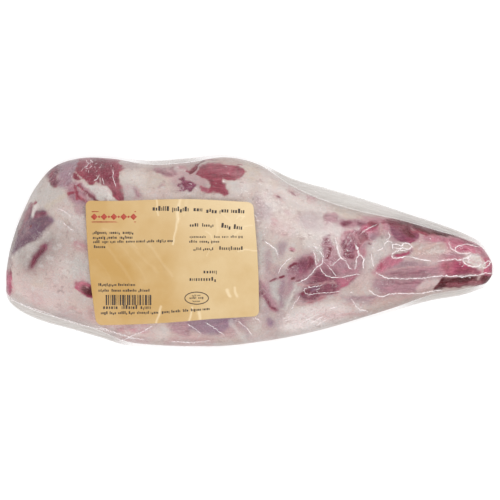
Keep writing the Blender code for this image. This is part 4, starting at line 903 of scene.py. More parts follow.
def paper_material(looks):
    """Smooth yellow label paper, deeper to the left, with faint clouds and fibres, pale along its creases, partly as
    painted highlight, and with a painted sheen towards its upper right.
    """
    material, tree, shader, _ = new_material("label_paper")
    place = node(tree, "TexCoord").outputs["Object"]
    along = node(tree, "SeparateXYZ", Vector=place).outputs["X"]
    right = stretch(tree, along, LABEL_LOW.x, LABEL_HIGH.x)
    cloud = speckle(tree, place, 22, 1.8, 3)
    fine = speckle(tree, place, 0.9, 1.2, 3)
    share = calc(tree, "MULTIPLY_ADD", calc(tree, "SUBTRACT", cloud, 0.5), 0.8, right, clamp=True)
    colour = blend(tree, share, looks.paper_deep, looks.paper)
    # Painted sheen: the paper is made paler towards its top edge, more so to the right.
    across, up, _ = node(tree, "SeparateXYZ", Vector=place).outputs
    right = stretch(tree, across, -0.08, -0.01, 0.25, 1)
    colour = blend(tree, calc(tree, "MULTIPLY", stretch(tree, up, -0.012, 0.02, 0, 0.5), right), colour, looks.paper_pale_and_sheen)
    # Pale along the creases: partly the paper's own whitening, partly painted highlight on the ridges.
    colour = blend(tree, stretch(tree, attribute(tree, "crease"), 0.1, 1.0, 0, 0.85), colour, looks.paper_pale_and_sheen)
    colour = blend(tree, stretch(tree, fine, 0.5, 1.0, 0, 0.18), colour, looks.paper_deep)
    tree.links.new(colour, shader.inputs["Base Color"])
    shader.inputs["Roughness"].default_value = 0.42
    shader.inputs["Coat Weight"].default_value = 0.25
    shader.inputs["Coat Roughness"].default_value = 0.2
    bump = node(tree, "Bump", Strength=0.3, Distance=0.0003, Height=calc(tree, "ADD", cloud, calc(tree, "MULTIPLY", fine, 0.3)))
    tree.links.new(bump.outputs["Normal"], shader.inputs["Normal"])
    return material


def ink_material(name, colour):
    """Printing ink, worn thin in places."""
    material, tree, shader, _ = new_material(name)
    place = node(tree, "TexCoord").outputs["Object"]
    worn = speckle(tree, place, 1.1, 1.6, 3)
    lighter = tuple(min(1.0, c * 1.0 + 0.05) for c in colour)
    tree.links.new(blend(tree, worn, colour, lighter), shader.inputs["Base Color"])
    shader.inputs["Roughness"].default_value = 0.5
    return material


# ------------------------------------------------------------------------------------------------ mesh helpers

def deselect():
    bpy.ops.object.select_all(action="DESELECT")


def coordinates(piece):
    """A mesh's points as an array, in millimetres."""
    flat = np.empty(len(piece.data.vertices) * 3)
    piece.data.vertices.foreach_get("co", flat)
    return flat.reshape(-1, 3) / MM


def place_points(piece, points):
    piece.data.vertices.foreach_set("co", (points * MM).ravel())
    piece.data.update()


def outward(piece):
    """The direction that each point of the mesh faces."""
    flat = np.empty(len(piece.data.vertices) * 3, np.float32)
    piece.data.vertex_normals.foreach_get("vector", flat)
    return flat.reshape(-1, 3).astype(float)


def store(piece, name, values):
    """Keeps a number, or three, for each point of the mesh, for its material to read."""
    kind = "FLOAT" if values.ndim == 1 else "FLOAT_VECTOR"
    made = piece.data.attributes.new(name, kind, "POINT")
    made.data.foreach_set("value" if values.ndim == 1 else "vector", values.astype(np.float32).ravel())


def finish_piece(piece, name, material, *nodes, slot=None):
    """Names a piece, gives it its material and smooth faces, hangs it under the root body, and hides the frame's parts
    that it stands in for.
    """
    piece.name = piece.data.name = name
    piece.data.materials.clear()
    piece.data.materials.append(material)
    deselect()
    piece.select_set(True)
    bpy.context.view_layer.objects.active = piece
    bpy.ops.object.shade_smooth()
    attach(piece, "root")
    if nodes:
        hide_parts(*nodes)
    return piece


def sphere_round_leg(segments, rings):
    """A sphere with its poles at the leg's two ends. Gives it with each point's place along the leg, its share of
    the way over the upper or under the lower side from the +Y edge, and whether it is on the upper side."""
    deselect()
    bpy.ops.mesh.primitive_uv_sphere_add(segments=segments, ring_count=rings, radius=1.0, rotation=(0, math.radians(90), 0))
    piece = bpy.context.object
    bpy.ops.object.transform_apply(rotation=True)
    x, y, z = (coordinates(piece) * MM).T
    along = np.round(np.arccos(np.clip(-x, -1, 1)) / math.pi * rings) / rings
    around = np.round((np.arctan2(z, y) / (2 * math.pi) % 1.0) * segments) / segments % 1.0
    over = around <= UPPER_SHARE
    turn = np.where(over, around / UPPER_SHARE, (1 - around) / (1 - UPPER_SHARE))
    eased_ends = 0.86 * along + 0.14 * (1 - np.cos(np.pi * along)) / 2
    return piece, evenly_along(eased_ends), turn, over


# --------------------------------------------------------------------------------------------------- settings

def colour_setting(name, description, value):
    return FloatVectorProperty(name=name, description=description, default=value, subtype="COLOR", size=3, min=0, max=1)


class LambMeatSettings(bpy.types.PropertyGroup):
    inset: FloatProperty(name="Inset", description="How far the meat's surface lies under the film", default=0.0007, unit="LENGTH")
    lumps: FloatProperty(name="Lumps", description="Height of the small unevenness of the fat", default=0.0005, unit="LENGTH")
    # Painted shade: how much the meat's colour is darkened along its edge, where it turns down to the table.
    rim_shade: FloatProperty(name="Rim shade", description="How much darker the meat is along its edge", default=0.3, min=0.0, max=1.0, subtype="FACTOR")
    segments: IntProperty(name="Segments", description="Faces round the leg", default=256, min=40)
    rings: IntProperty(name="Rings", description="Faces along the leg", default=380, min=40)
    fat: colour_setting("Fat", "Colour of most of the fat", tint(202, 185, 178))
    white: colour_setting("White fat", "Colour of clean white fat and sinew", tint(220, 210, 205))
    bright: colour_setting("Bright fat", "Colour of the brightest fat", tint(232, 220, 217))
    grey: colour_setting("Grey fat", "Colour of dull grey fat", tint(194, 186, 180))
    cool: colour_setting("Cool fat", "Colour of fat with a green-grey cast", tint(193, 189, 184))
    cream: colour_setting("Cream", "Colour of warm fat", tint(202, 186, 171))
    tan: colour_setting("Tan", "Colour of dry warm fat and tendon", tint(195, 166, 158))
    blush: colour_setting("Blush", "Colour of fat with a pink cast", tint(208, 183, 180))
    flush: colour_setting("Flush", "Colour of fat with a little blood in it", tint(194, 147, 150))
    rose: colour_setting("Rose", "Colour of bright pink flesh close under the skin", tint(190, 116, 134))
    lilac: colour_setting("Lilac", "Colour of skin with flesh deep under it", tint(158, 127, 139))
    violet: colour_setting("Violet", "Colour of blue-violet skin", tint(134, 102, 126))
    mauve: colour_setting("Mauve", "Colour of skin drawn over flesh", tint(172, 128, 138))
    shade: colour_setting("Shade", "Colour of dark specks and hollows in the fat", tint(132, 112, 110))
    skin: colour_setting("Silverskin", "Colour of the dark skin on the thigh's end", tint(106, 73, 91))
    lean: colour_setting("Lean", "Colour of cut lean meat", tint(152, 72, 86))
    lean_light: colour_setting("Light lean", "Colour of paler lean meat", tint(162, 90, 104))
    lean_dark: colour_setting("Dark lean", "Colour of darker lean meat", tint(120, 50, 66))
    dusky: colour_setting("Dusky lean", "Colour of dull red flesh", tint(128, 70, 86))
    plum: colour_setting("Plum", "Colour of purple flesh", tint(136, 74, 96))
    crimson: colour_setting("Crimson", "Colour of fresh bright flesh", tint(174, 76, 104))
    maroon: colour_setting("Maroon", "Colour of dark red flesh", tint(108, 40, 50))
    blood: colour_setting("Blood", "Colour of clotted blood", tint(82, 16, 26))
    marbling: colour_setting("Marbling", "Colour of the fine lines in the lean", tint(196, 146, 150))


class LambFilmSettings(bpy.types.PropertyGroup):
    rim_thick: FloatProperty(name="Rim", description="Thickness of the doubled film beyond the meat", default=0.0009, unit="LENGTH")
    ripples: FloatProperty(name="Ripples", description="Height of the film's soft unevenness", default=0.0002, unit="LENGTH")
    segments: IntProperty(name="Segments", description="Faces round the leg", default=256, min=40)
    rings: IntProperty(name="Rings", description="Faces along the leg", default=380, min=40)
    haze: colour_setting("Haze", "Colour of milky film over the meat", tint(226, 221, 218))
    web: colour_setting("Rim", "Colour of the doubled film beyond the meat", tint(221, 216, 211))
    clear_haze: FloatProperty(name="Clear haze", description="How milky the film is over the meat", default=0.003, min=0, max=1)
    web_haze: FloatProperty(name="Rim haze", description="How milky the doubled film is beyond the meat", default=0.62, min=0, max=1)
    # Whites of the folds and glints: partly the film's own whitening, partly painted highlight.
    fold: colour_setting("Fold", "Colour of a sharp fold", tint(255, 253, 253))
    faint_fold_and_glint: colour_setting("Faint fold", "Colour of a soft fold", tint(212, 170, 176))


class LambLabelSettings(bpy.types.PropertyGroup):
    thickness: FloatProperty(name="Thickness", description="Thickness of the label", default=0.00015, unit="LENGTH")
    gap: FloatProperty(name="Gap", description="How far the label's underside is over the film", default=0.0003, unit="LENGTH")
    paper: colour_setting("Paper", "Colour of the paper", tint(227, 197, 147))
    paper_deep: colour_setting("Deep paper", "Deeper colour of the paper", tint(204, 161, 92))
    # Pale paper for the creases, partly painted highlight, and for the painted sheen at the upper right.
    paper_pale_and_sheen: colour_setting("Pale paper", "Colour along the creases", tint(250, 226, 184))
    ink: colour_setting("Ink", "Colour of the dark print", tint(48, 30, 22))
    red_ink: colour_setting("Red ink", "Colour of the red print", tint(186, 62, 34))


class LambStageSettings(bpy.types.PropertyGroup):
    horizon_light: FloatProperty(name="Light from around", description="Brightness of the room's walls", default=1.05, min=0)
    zenith_light: FloatProperty(name="Light from above", description="Brightness of the room's ceiling", default=0.58, min=0)
    key_power: FloatProperty(name="Key light", description="Power of the large soft light, in watts", default=4.5, min=0)
    camera_height: FloatProperty(name="Camera height", description="How far up the camera is", default=6.0, unit="LENGTH")
    view_width: FloatProperty(name="View width", description="Width of the view at the table", default=0.3415, unit="LENGTH")


# ------------------------------------------------------------------------------------------------------ pieces

class LAMB_OT_make_meat(bpy.types.Operator):
    """Make the leg of lamb inside the bag"""
    bl_idname = "lamb.make_meat"
    bl_label = "Leg of lamb"

    def execute(self, context):
        looks = context.scene.lamb_meat
        piece, place, turn, over = sphere_round_leg(looks.segments, looks.rings)
        share = (1 - np.cos(np.pi * turn)) / 2
        points, chord = leg_surface(place, share, over)
        place_points(piece, points)
        facing = outward(piece)

        plan = points[:, :2]
        waver = np.stack([
            ripple(points, 5, 1) * 0.6 + ripple(points, 2.2, 2) * 0.35,
            ripple(points, 5, 3) * 0.6 + ripple(points, 2.2, 4) * 0.35,
        ], axis=1)
        tones = {tone: tuple(getattr(looks, tone)) for tone in {mark[0] for mark in (*UPPER_MARKS, *LOWER_MARKS)} - {"hollow"} | {"fat", "lean"}}
        upper = paint(plan, UPPER_MARKS, waver, tones)
        lower = paint(plan, LOWER_MARKS, waver * 2.5, tones)
        from_edge = chord * np.minimum(share, 1 - share)
        under = np.where(over, 0.0, eased((from_edge - 1) / 12))
        fat, flesh, fibres = (a * (1 - under)[:, None] + b * under[:, None] for a, b in zip(upper[:3], lower[:3]))
        fleshy, fibrous, hollow = (a * (1 - under) + b * under for a, b in zip(upper[3:], lower[3:]))
        # Painted shade along the meat's edge, where it turns down to the table, kept as the lit attribute.
        lit = 1 - looks.rim_shade * np.exp(-((from_edge / 4) ** 2))

        lumps = looks.lumps / MM * (ripple(points, 9, 8) + 0.6 * ripple(points, 3.5, 9)) * (1 - 0.5 * fibrous)
        across = np.outer(plan[:, 1], np.cos(FIBRE_WAYS)) - np.outer(plan[:, 0], np.sin(FIBRE_WAYS))
        threads = 0.12 * (np.sin(across * 2.6 + ripple(points, 14, 6)[:, None] * 2.4) * fibres).sum(axis=1) * fibrous
        sink = looks.inset / MM + 0.35 * fleshy + 1.0 * hollow + np.maximum(0.0, 0.5 - lumps) + threads
        sink = 0.3 + (np.clip(sink, 0.35, 3.0) - 0.3) * np.where(over, eased(from_edge / 5), 1.0)
        sunk = points - facing * sink[:, None]
        sunk[:, 0] = np.clip(sunk[:, 0], points[:, 0].min() + 1.0, points[:, 0].max() - 1.0)
        place_points(piece, sunk)
        for name, values in (("fat", fat), ("flesh", flesh), ("fleshy", fleshy), ("fibrous", fibrous), ("fibres", fibres), ("lit", lit)):
            store(piece, name, values)
        finish_piece(piece, "leg_of_lamb", meat_material(looks), "sealed_bag", slot="packed_meat")
        return {"FINISHED"}


# Folds in the film over the upper side, drawn as white strips that are partly the film's own whitening and partly
# painted highlight: half width, strength, points.
FOLDS = (
    (0.42, 0.95, ((86, -14.3), (90, -16.2), (92.5, -17.7), (95.5, -18), (103, -18.5), (112.5, -18.3), (119, -18), (127, -16.8), (133, -16.5))),
    (0.6, 1.0, ((133, -16.5), (137.5, -17.3), (140.5, -16.5), (145.5, -17.2), (150, -16.2), (156, -16.2))),
    (0.42, 0.95, ((156, -16.2), (161, -14.9), (166.3, -14.9))),
    (0.5, 1.0, ((98.1, 1.4), (97.4, 4.5), (100.6, 4.8), (103.1, 3.7), (105.6, 5.8), (109.3, 4.8), (110.7, 3.3), (109, 2), (105, 0.8), (101.8, 0.8), (98.7, -0.5), (96.8, -2.4), (98.1, -4.2), (101.2, -4.4), (105, -3.5), (108.7, -3.3))),
    (0.5, 0.95, ((98.5, 2.6), (101, 1.8), (104, 2.4), (107, 1.6))),
    (0.45, 0.95, ((108.7, -3.3), (112.5, -4.3), (115.6, -5.2), (120.6, -5.8), (123.8, -6.5))),
    (0.45, 0.95, ((128, -6.4), (133, -6), (138, -5.5), (140.7, -4.9))),
    (0.6, 1.0, ((140.7, -4.9), (142.5, -6), (145, -5.6), (147, -8), (149.5, -9.3), (152.6, -10.3), (156.3, -10.2), (158, -8))),
    (0.5, 1.0, ((145, -5.6), (147.8, -4.4), (150, -5.3), (149, -7), (151, -7.6))),
    (0.45, 0.9, ((147.6, -4.6), (150, -3.8), (151, -2))),
    (0.42, 0.9, ((136, 6.5), (136.9, 3.3), (139.4, 0.6), (144.4, -1.4), (148.2, -1.5), (151.5, -0.7))),
    (0.42, 0.9, ((140, 0.8), (141.3, 3.3), (144.4, 4.2), (148.8, 5), (152, 4.3), (156.3, 3.3))),
    (0.42, 0.9, ((159, -9.9), (160.7, -8), (163.8, -6.4), (164.8, -7.7), (162.6, -9.9), (160.1, -11.5), (159, -9.9))),
    (0.4, 0.8, ((81, -25.5), (83.6, -28.1), (87.4, -30.2), (91.2, -30.6), (95.5, -29), (103, -28.7), (109.3, -28.7), (116.8, -28.7))),
    (0.5, 0.95, ((116.8, -28.7), (122, -27.4), (125.6, -26.8), (132, -26.2))),
    (0.4, 0.5, ((83, -1), (83.6, -6), (84.5, -10.5))),
    (0.4, 0.5, ((86.8, 0.8), (90.5, 2), (92.4, 5.8), (94.9, 7), (97.4, 5.8))),
    (0.35, 0.45, ((94.5, 14), (95.5, 10), (92.5, 7))),
    (1.3, 1.0, ((72.4, 4.6), (73, 3), (73.9, 1.2))),
    (1.0, 1.0, ((73.8, 0.8), (74.2, -1.5), (74.4, -3.2))),
    (0.55, 1.0, ((73.8, 1.5), (74.3, -2), (76.3, -3.2), (77.9, -5.6), (77.3, -8.3), (77.6, -11.6))),
    (0.5, 0.95, ((74.2, -2.5), (72.9, -5), (72.5, -8.5), (71.6, -12))),
    (1.0, 1.0, ((66.2, 1.4), (67.2, 0.2))),
    (0.4, 0.8, ((60, 5.4), (60.8, -1), (62.6, -4.6), (65.3, -6.4), (67.6, -10.5), (69.9, -12.3))),
    (0.35, 0.6, ((58.5, 9.9), (59.4, 4.5), (60.3, -1), (61, -3.5))),
    (0.4, 0.7, ((43.6, 3.6), (46.3, 1.8), (49.5, -2.8), (49.7, -7.3), (47.5, -10))),
    (0.4, 0.8, ((44, 0), (44.8, -4), (45.4, -8.7), (46.5, -9.8))),
    (0.45, 0.95, ((44, 3.6), (46, 2.4))),
    (0.35, 0.55, ((10, 7.2), (15.4, 3.6), (18.1, 0.9), (19.5, -3.7))),
    (0.35, 0.6, ((19.5, -15.5), (21.3, -10.9), (25.4, -6.4), (29, -3.7))),
    (0.4, 0.75, ((34, -20.9), (39, -18.2), (42.6, -14.6), (45.4, -10.9), (49, -9.1))),
    (0.4, 0.75, ((48, -10.5), (49.5, -13.6), (52, -15.9), (56.3, -17.6), (62.6, -17.3))),
    (0.4, 0.4, ((62.6, -17.3), (70.8, -15.9), (75.3, -15.5))),
    (0.3, 0.45, ((55, -10), (60, -6), (63, -3.7))),
    (0.3, 0.4, ((53, -9.5), (57, -14), (59, -17))),
    (0.3, 0.2, ((36.3, -26.4), (39.9, -24.6), (50.8, -22.7))),
    (0.28, 0.2, ((39, -30), (47.2, -28.2), (54.4, -28.2), (61.7, -26.8))),
    (0.3, 0.4, ((37, -26.5), (38.5, -28.6), (41, -29.7))),
    (0.3, 0.6, ((45.5, -26), (48, -24.6))),
    (0.3, 0.4, ((66.7, 4), (68.2, 6), (69, 9), (67.1, 9.9))),
    (0.3, 0.35, ((76.2, 12.6), (81.7, 16.3), (87.1, 18.5))),
    (0.45, 0.85, ((54.4, -38.7), (59.4, -37.8))),
    (0.35, 0.75, ((35.4, -52.7), (37.2, -51.6))),
    (0.35, 0.6, ((24, -47.2), (27.5, -46))),
    (0.3, 0.4, ((39.9, -46.3), (47.2, -42.3))),
    (0.3, 0.4, ((41.5, -49), (50, -44))),
    (0.3, 0.35, ((34, -49), (41, -45.5))),
    (0.3, 0.35, ((46, -50), (53, -46))),
    (0.3, 0.45, ((27.2, -40.9), (31.3, -34.5), (34.5, -30))),
    (0.3, 0.4, ((69, -32), (74.4, -39), (79, -40))),
    (0.35, 0.6, ((76, -39.6), (79, -40.3), (81, -41.5))),
    (0.5, 0.9, ((68.5, -27.8), (70, -28))),
    (0.7, 0.95, ((115.7, 7), (116.2, 6.9))),
    (0.5, 0.5, ((122.8, 9), (124, 8.6))),
    (0.45, 0.8, ((94.8, -34.6), (95.8, -34.6))),
    (0.4, 0.8, ((78.2, -3.5), (77.9, -7))),
    # thigh
    (0.3, 0.55, ((-111.6, 62.5), (-110, 59.5), (-112.3, 57))),
    (0.3, 0.5, ((-109, 62.5), (-106.5, 61))),
    (0.3, 0.45, ((-106, 47.5), (-103.5, 49.5), (-102, 52))),
    (0.3, 0.35, ((-93, 56), (-92.5, 50), (-90.5, 44))),
    (0.35, 0.4, ((-100, 50), (-98.5, 45))),
    (0.35, 0.5, ((-103, -51), (-92, -55), (-81.7, -58.2), (-72, -60))),
    (0.35, 0.5, ((-92, -62.3), (-81.7, -58.2), (-72, -54), (-66, -50.5))),
    (0.3, 0.35, ((-42, -49), (-36, -53), (-33, -56))),
    (0.3, 0.3, ((-30, -48), (-24, -52), (-17, -57))),
    (0.3, 0.35, ((-8, -47), (-2, -52), (2, -57))),
    (0.3, 0.3, ((-54, -61), (-40, -62), (-26, -60.5))),
    (0.35, 0.5, ((-54.6, 61.5), (-54.8, 59.5))),
    (0.35, 0.45, ((-163, -34), (-161, -37.5))),
    (0.35, 0.5, ((-164.5, -32), (-152, -37.2), (-138.7, -41.8), (-119, -49), (-101, -52.7), (-90, -55.4))),
    (0.3, 0.35, ((-130, 29), (-125, 27), (-121, 23))),
    (0.25, 0.3, ((-127, 20), (-122, 16), (-119, 14))),
    (0.35, 0.7, ((3.8, 25), (5.3, 22.5))),
    (0.35, 0.7, ((3.4, -44.7), (6, -46.2))),
)

# Places with many short glints in the film: corner, opposite corner, how many, turn of the glints in degrees.
GLINTS = (
    (4, 20, 12, 46, 34, -50), (12, 28, 46, 48, 30, -30), (48, 6, 62, 30, 22, 70), (20, 13, 26, 18, 8, -60), (9, 11, 13, 18, 5, 80), (2, -49, 8, -44, 10, -30),
    (40, -2, 47, 5, 9, -40), (36, -29, 46, -20, 9, -20), (64, -2, 71, 13, 10, 60), (82, 1, 86, 12, 7, 50),
    (-113, 56, -106, 63, 10, 50), (22, -50, 38, -42, 7, 25), (92, -15, 100, -20, 4, 0), (140, -18, 152, -16, 8, 0),
    (143, -10, 152, -4, 12, -30), (24, -54, 60, -36, 30, 18), (56, -48, 84, -34, 14, 8), (-126, 46, -92, 62, 18, 60), (-50, 36, -12, 60, 16, -30), (124, -29, 132, -26, 5, 10), (98, 1, 110, 6, 7, 20),
)


class LAMB_OT_make_film(bpy.types.Operator):
    """Draw the clear shrink film over the leg"""
    bl_idname = "lamb.make_film"
    bl_label = "Shrink film"

    def execute(self, context):
        looks = context.scene.lamb_film
        piece, place, turn, over = sphere_round_leg(looks.segments, looks.rings)
        points, beyond, from_edge = film_surface(place, turn, over, looks.rim_thick / MM, 0.06)
        place_points(piece, points)
        facing = outward(piece)
        plan = points[:, :2]

        # The film rises a little over each fold, and draws long ripples beyond the meat.
        fold = np.zeros(len(points))
        for half_width, strength, line in FOLDS:
            xs, ys = zip(*line)
            near = np.flatnonzero(over & (plan[:, 0] > min(xs) - 4) & (plan[:, 0] < max(xs) + 4)
                                  & (plan[:, 1] > min(ys) - 4) & (plan[:, 1] < max(ys) + 4))
            away = distance_to(plan[near], line, False) if len(line) > 1 else np.full(len(near), 9.0)
            fold[near] = np.maximum(fold[near], strength * np.exp(-((away / 0.9) ** 2)))
        web = eased((beyond + 1.7) / 1.4) * eased(from_edge / 0.2 + 0.4) * eased((beyond + from_edge - 1.2) / 2.2)
        web *= eased(1.4 - np.abs(points[:, 2] - ribs_at(place)[:, 6]) / 5)
        # Over the dark line along the shank's upper edge, partly blood and partly painted shade of the gap under the
        # film, the film is kept clear.
        blood_and_shade_line = distance_to(plan, ((100, 21), (112, 18.7), (124, 15.4), (134, 12.4), (144, 9.6)), False)
        web *= 1 - 0.85 * np.exp(-((blood_and_shade_line / 1.3) ** 2)) * over
        drawn = np.sin(from_edge * 2.6 + ripple(points, 30, 11) * 1.5) * 0.12 * eased((beyond - 0.5) / 1.5) * eased((from_edge - 0.6) / 1.0)
        under_label = ((plan[:, 0] > -109) & (plan[:, 0] < 3) & (plan[:, 1] > -44) & (plan[:, 1] < 33) & over)
        ripples = looks.ripples / MM * (1 + ripple(points, 12, 12)) * (1 - web) * np.where(under_label, 0.3, 1.0)
        ripples *= eased((points[:, 2] - 0.5) / 2)
        lift = ripples + 0.2 * fold + np.where(over, drawn, -drawn * 0.3)
        place_points(piece, points + facing * lift[:, None])
        store(piece, "web", web)
        # The crease attribute makes the film milky along the folds: partly its own whitening, partly painted highlight.
        store(piece, "crease", fold)
        finish_piece(piece, "shrink_film", film_material(looks), "sealed_bag", slot="packed_meat")
        piece.visible_shadow = piece.visible_diffuse = False  # so thin a film takes no light from the meat
        return {"FINISHED"}


def smooth_line(line, step):
    """Points at about this spacing on a smooth curve through a line's own points."""
    line = [Vector(point) for point in line]
    line = [line[0] * 2 - line[1], *line, line[-1] * 2 - line[-2]]
    made = []
    for before, start, end, after in zip(line, line[1:], line[2:], line[3:]):
        count = max(1, round((end - start).length / step))
        for number in range(count):
            t = number / count
            made.append(0.5 * (2 * start + (end - before) * t + (2 * before - 5 * start + 4 * end - after) * t**2
                               + (3 * start - before - 3 * end + after) * t**3))
    return made + [line[-2]]


class LAMB_OT_make_folds(bpy.types.Operator):
    """Pinch the film into its sharp folds and glints, white strips that are partly the film's own whitening and partly
    painted highlight
    """
    bl_idname = "lamb.make_folds"
    bl_label = "Folds in the film"

    def execute(self, context):
        looks = context.scene.lamb_film
        film = bpy.data.objects["shrink_film"]
        context.view_layer.update()
        tree = BVHTree.FromObject(film, context.evaluated_depsgraph_get())
        rng = random.Random(5)
        lines = [(half, strength, smooth_line(line, 0.8)) for half, strength, line in FOLDS]
        for x0, y0, x1, y1, count, turn in GLINTS:
            for _ in range(count):
                middle = Vector((rng.uniform(x0, x1), rng.uniform(y0, y1)))
                way = math.radians(turn + rng.gauss(0, 25))
                reach = Vector((math.cos(way), math.sin(way))) * rng.uniform(0.4, 1.3)
                bend = Vector((-reach.y, reach.x)) * rng.uniform(-0.3, 0.3)
                lines.append((rng.uniform(0.15, 0.3), rng.uniform(0.5, 0.95), smooth_line((middle - reach, middle + bend, middle + reach), 0.5)))
        curve = bpy.data.curves.new("film_folds", "CURVE")
        curve.dimensions = "3D"
        curve.bevel_depth = MM
        curve.bevel_resolution = 1
        curve.use_fill_caps = True
        strengths = []
        for half, strength, line in lines:
            found = []
            for number, point in enumerate(line):
                wander = Vector((rng.gauss(0, 0.2), rng.gauss(0, 0.2)))
                start = Vector((point.x + wander.x, point.y + wander.y, 90)) * MM
                hit, normal, _, _ = tree.ray_cast(start, Vector((0, 0, -1)))
                if hit is None:
                    continue
                ends = min(1.0, 0.25 + min(number, len(line) - 1 - number) * 0.35)
                found.append((hit + normal * 0.00003, 0.68 * half * ends * rng.uniform(0.45, 1.35)))
            if len(found) < 2:
                continue
            spline = curve.splines.new("POLY")
            spline.points.add(len(found) - 1)
            for point, (at, radius) in zip(spline.points, found):
                point.co = (*at, 1)
                point.radius = radius
            strengths.append(strength)
        piece = bpy.data.objects.new("film_folds", curve)
        context.scene.collection.objects.link(piece)
        deselect()
        piece.select_set(True)
        context.view_layer.objects.active = piece
        bpy.ops.object.convert(target="MESH")
        piece = context.object
        # Each fold is a loose part of the mesh, in the order that they were laid.
        values = np.zeros(len(piece.data.vertices))
        links = [[] for _ in piece.data.vertices]
        for edge in piece.data.edges:
            a, b = edge.vertices
            links[a].append(b)
            links[b].append(a)
        seen, number = set(), 0
        for first in range(len(values)):
            if first in seen:
                continue
            waiting = [first]
            seen.add(first)
            while waiting:
                at = waiting.pop()
                values[at] = strengths[min(number, len(strengths) - 1)]
                for other in links[at]:
                    if other not in seen:
                        seen.add(other)
                        waiting.append(other)
            number += 1
        store(piece, "strength", values)
        finish_piece(piece, "film_folds", fold_and_glint_material(looks), slot="packed_meat")
        return {"FINISHED"}


# ------------------------------------------------------------------------------------------------------- label

LABEL_CORNERS = ((-111.4, 35.4), (2.4, 34.1), (6.5, -43.8), (-104.0, -49.9))   # from the upper left, clockwise
LABEL_ROUND = 4.0
LABEL_SIZE = (114.0, 82.0)

# Creases in the label: half width, height, how pale (the paper's own whitening on the crease and a painted highlight on
# its ridge), points.
LABEL_CREASES = (
    (0.7, 0.30, 0.8, ((-63, 35.5), (-62.6, 30), (-62, 24))),
    (1.1, 0.45, 0.9, ((-46.5, 36), (-49, 28), (-49, 20))),
    (0.7, 0.40, 1.0, ((-48.8, 22), (-50, 14), (-52, 5))),
    (1.5, -0.3, 0.4, ((-42, 36), (-43.5, 30), (-44.5, 24))),
    (0.9, 0.35, 0.8, ((-60, -37), (-61.5, -43), (-63.5, -49.5))),
    (0.9, 0.40, 0.9, ((-39, -37.5), (-39.5, -42), (-41, -47))),
    (0.6, -0.35, 0.1, ((-37, -40), (-36.5, -43), (-36.8, -46.5))),
    (1.2, 0.30, 0.8, ((-34, -41), (-33.5, -45.5))),
    (0.5, 0.30, 1.0, ((-8, 15.5), (-3, 17.3), (2.5, 17.5))),
    (0.5, 0.28, 1.0, ((-8, 0.2), (-3, 1.3), (0, 0.9), (5.5, 0.6))),
    (0.6, 0.25, 0.8, ((-13, 10), (-8, 13.5), (-4, 16))),
    (0.6, 0.25, 0.9, ((-9, 22), (-7, 24.5), (-3.5, 24), (-6, 21.5))),
    (0.7, 0.25, 0.6, ((-29, -3), (-26.5, 2), (-22, 8))),
    (0.8, 0.25, 0.6, ((-22.5, 22), (-21.5, 14), (-23, 8))),
    (0.6, 0.25, 0.7, ((-30, 14), (-26, 11), (-24.5, 6))),
    (0.7, 0.22, 0.5, ((-20, 27), (-14, 22), (-12, 18))),
    (1.6, 0.40, 0.3, ((-97, 4), (-90, -6), (-84, -13), (-79, -22))),
    (1.5, 0.40, 0.3, ((-84, 8), (-74, -3), (-62, -14))),
    (1.3, 0.40, 0.35, ((-72, 8), (-66, 2), (-60, -6), (-52, -17))),
    (1.3, 0.35, 0.25, ((-90, 8), (-82, -2), (-74, -12), (-70, -20))),
    (1.4, -0.35, 0.0, ((-87, 3), (-79, -6), (-72, -15))),
    (1.3, -0.35, 0.0, ((-76, 8), (-69, -1), (-58, -12))),
    (1.0, 0.30, 0.35, ((-100, 16), (-88, 12), (-76, 2))),
    (1.3, 0.35, 0.9, ((-15, -26), (-13, -30))),
    (1.0, 0.35, 0.8, ((-10.5, -24.5), (-8.5, -30))),
    (1.2, 0.25, 0.25, ((-104, -5), (-98, -12), (-94, -20))),
)

# Rows of dark printed marks: start, end, height, how bold, number of words.
PRINT_ROWS = (
    ((-65.8, 29.0), (-40.0, 28.4), 3.3, 1.0, 2), ((-38.0, 28.6), (-2.5, 27.0), 3.2, 1.0, 4),
    ((-106.3, 12.7), (-78.5, 12.8), 2.1, 1.0, 3), ((-106.3, 9.3), (-79.0, 9.5), 2.1, 1.0, 3),
    ((-106.0, 6.4), (-51.5, 7.2), 2.0, 0.9, 9), ((-105.5, 3.1), (-97.5, 3.1), 2.1, 0.9, 1),
    ((-40.5, 17.8), (-24.0, 17.7), 2.6, 0.7, 2), ((-19.2, 17.5), (-5.0, 16.0), 3.3, 1.0, 2),
    ((-40.5, 9.9), (-29.0, 9.9), 1.9, 0.6, 1), ((-24.0, 9.9), (-4.0, 10.1), 2.0, 0.5, 4),
    ((-40.8, 6.7), (-20.5, 6.7), 2.0, 0.8, 3), ((-38.0, 1.7), (-24.0, 1.7), 2.1, 0.6, 2),
    ((-20.5, 2.1), (-4.5, 2.0), 2.8, 0.7, 1), ((-31.3, -13.8), (-21.5, -13.8), 3.1, 0.5, 1),
    ((-40.8, -18.9), (-21.5, -18.9), 3.1, 0.5, 1), ((-102.5, -22.6), (-77.5, -22.6), 2.0, 0.9, 2),
    ((-102.5, -26.5), (-67.8, -26.5), 2.0, 1.0, 4), ((-99.5, -38.0), (-66.5, -38.0), 3.0, 0.7, 3),
    ((-101.0, -41.9), (-61.0, -41.4), 2.0, 1.0, 6), ((-59.5, -41.3), (-27.0, -38.9), 1.9, 1.0, 5),
    ((-39.0, -29.9), (-33.0, -29.7), 1.3, 0.6, 2), ((-40.8, -31.6), (-30.8, -31.3), 1.7, 0.7, 2),
    ((-38.5, -33.8), (-33.5, -33.7), 1.3, 0.6, 1),
)
BARS = (-97.6, -66.6, -29.4, -36.4)      # left, right, top and bottom of the block of upright bars
OVAL = (-35.8, -31.6, 8.0, 4.1, 0.28)    # middle, half sizes and half width of the oval ring
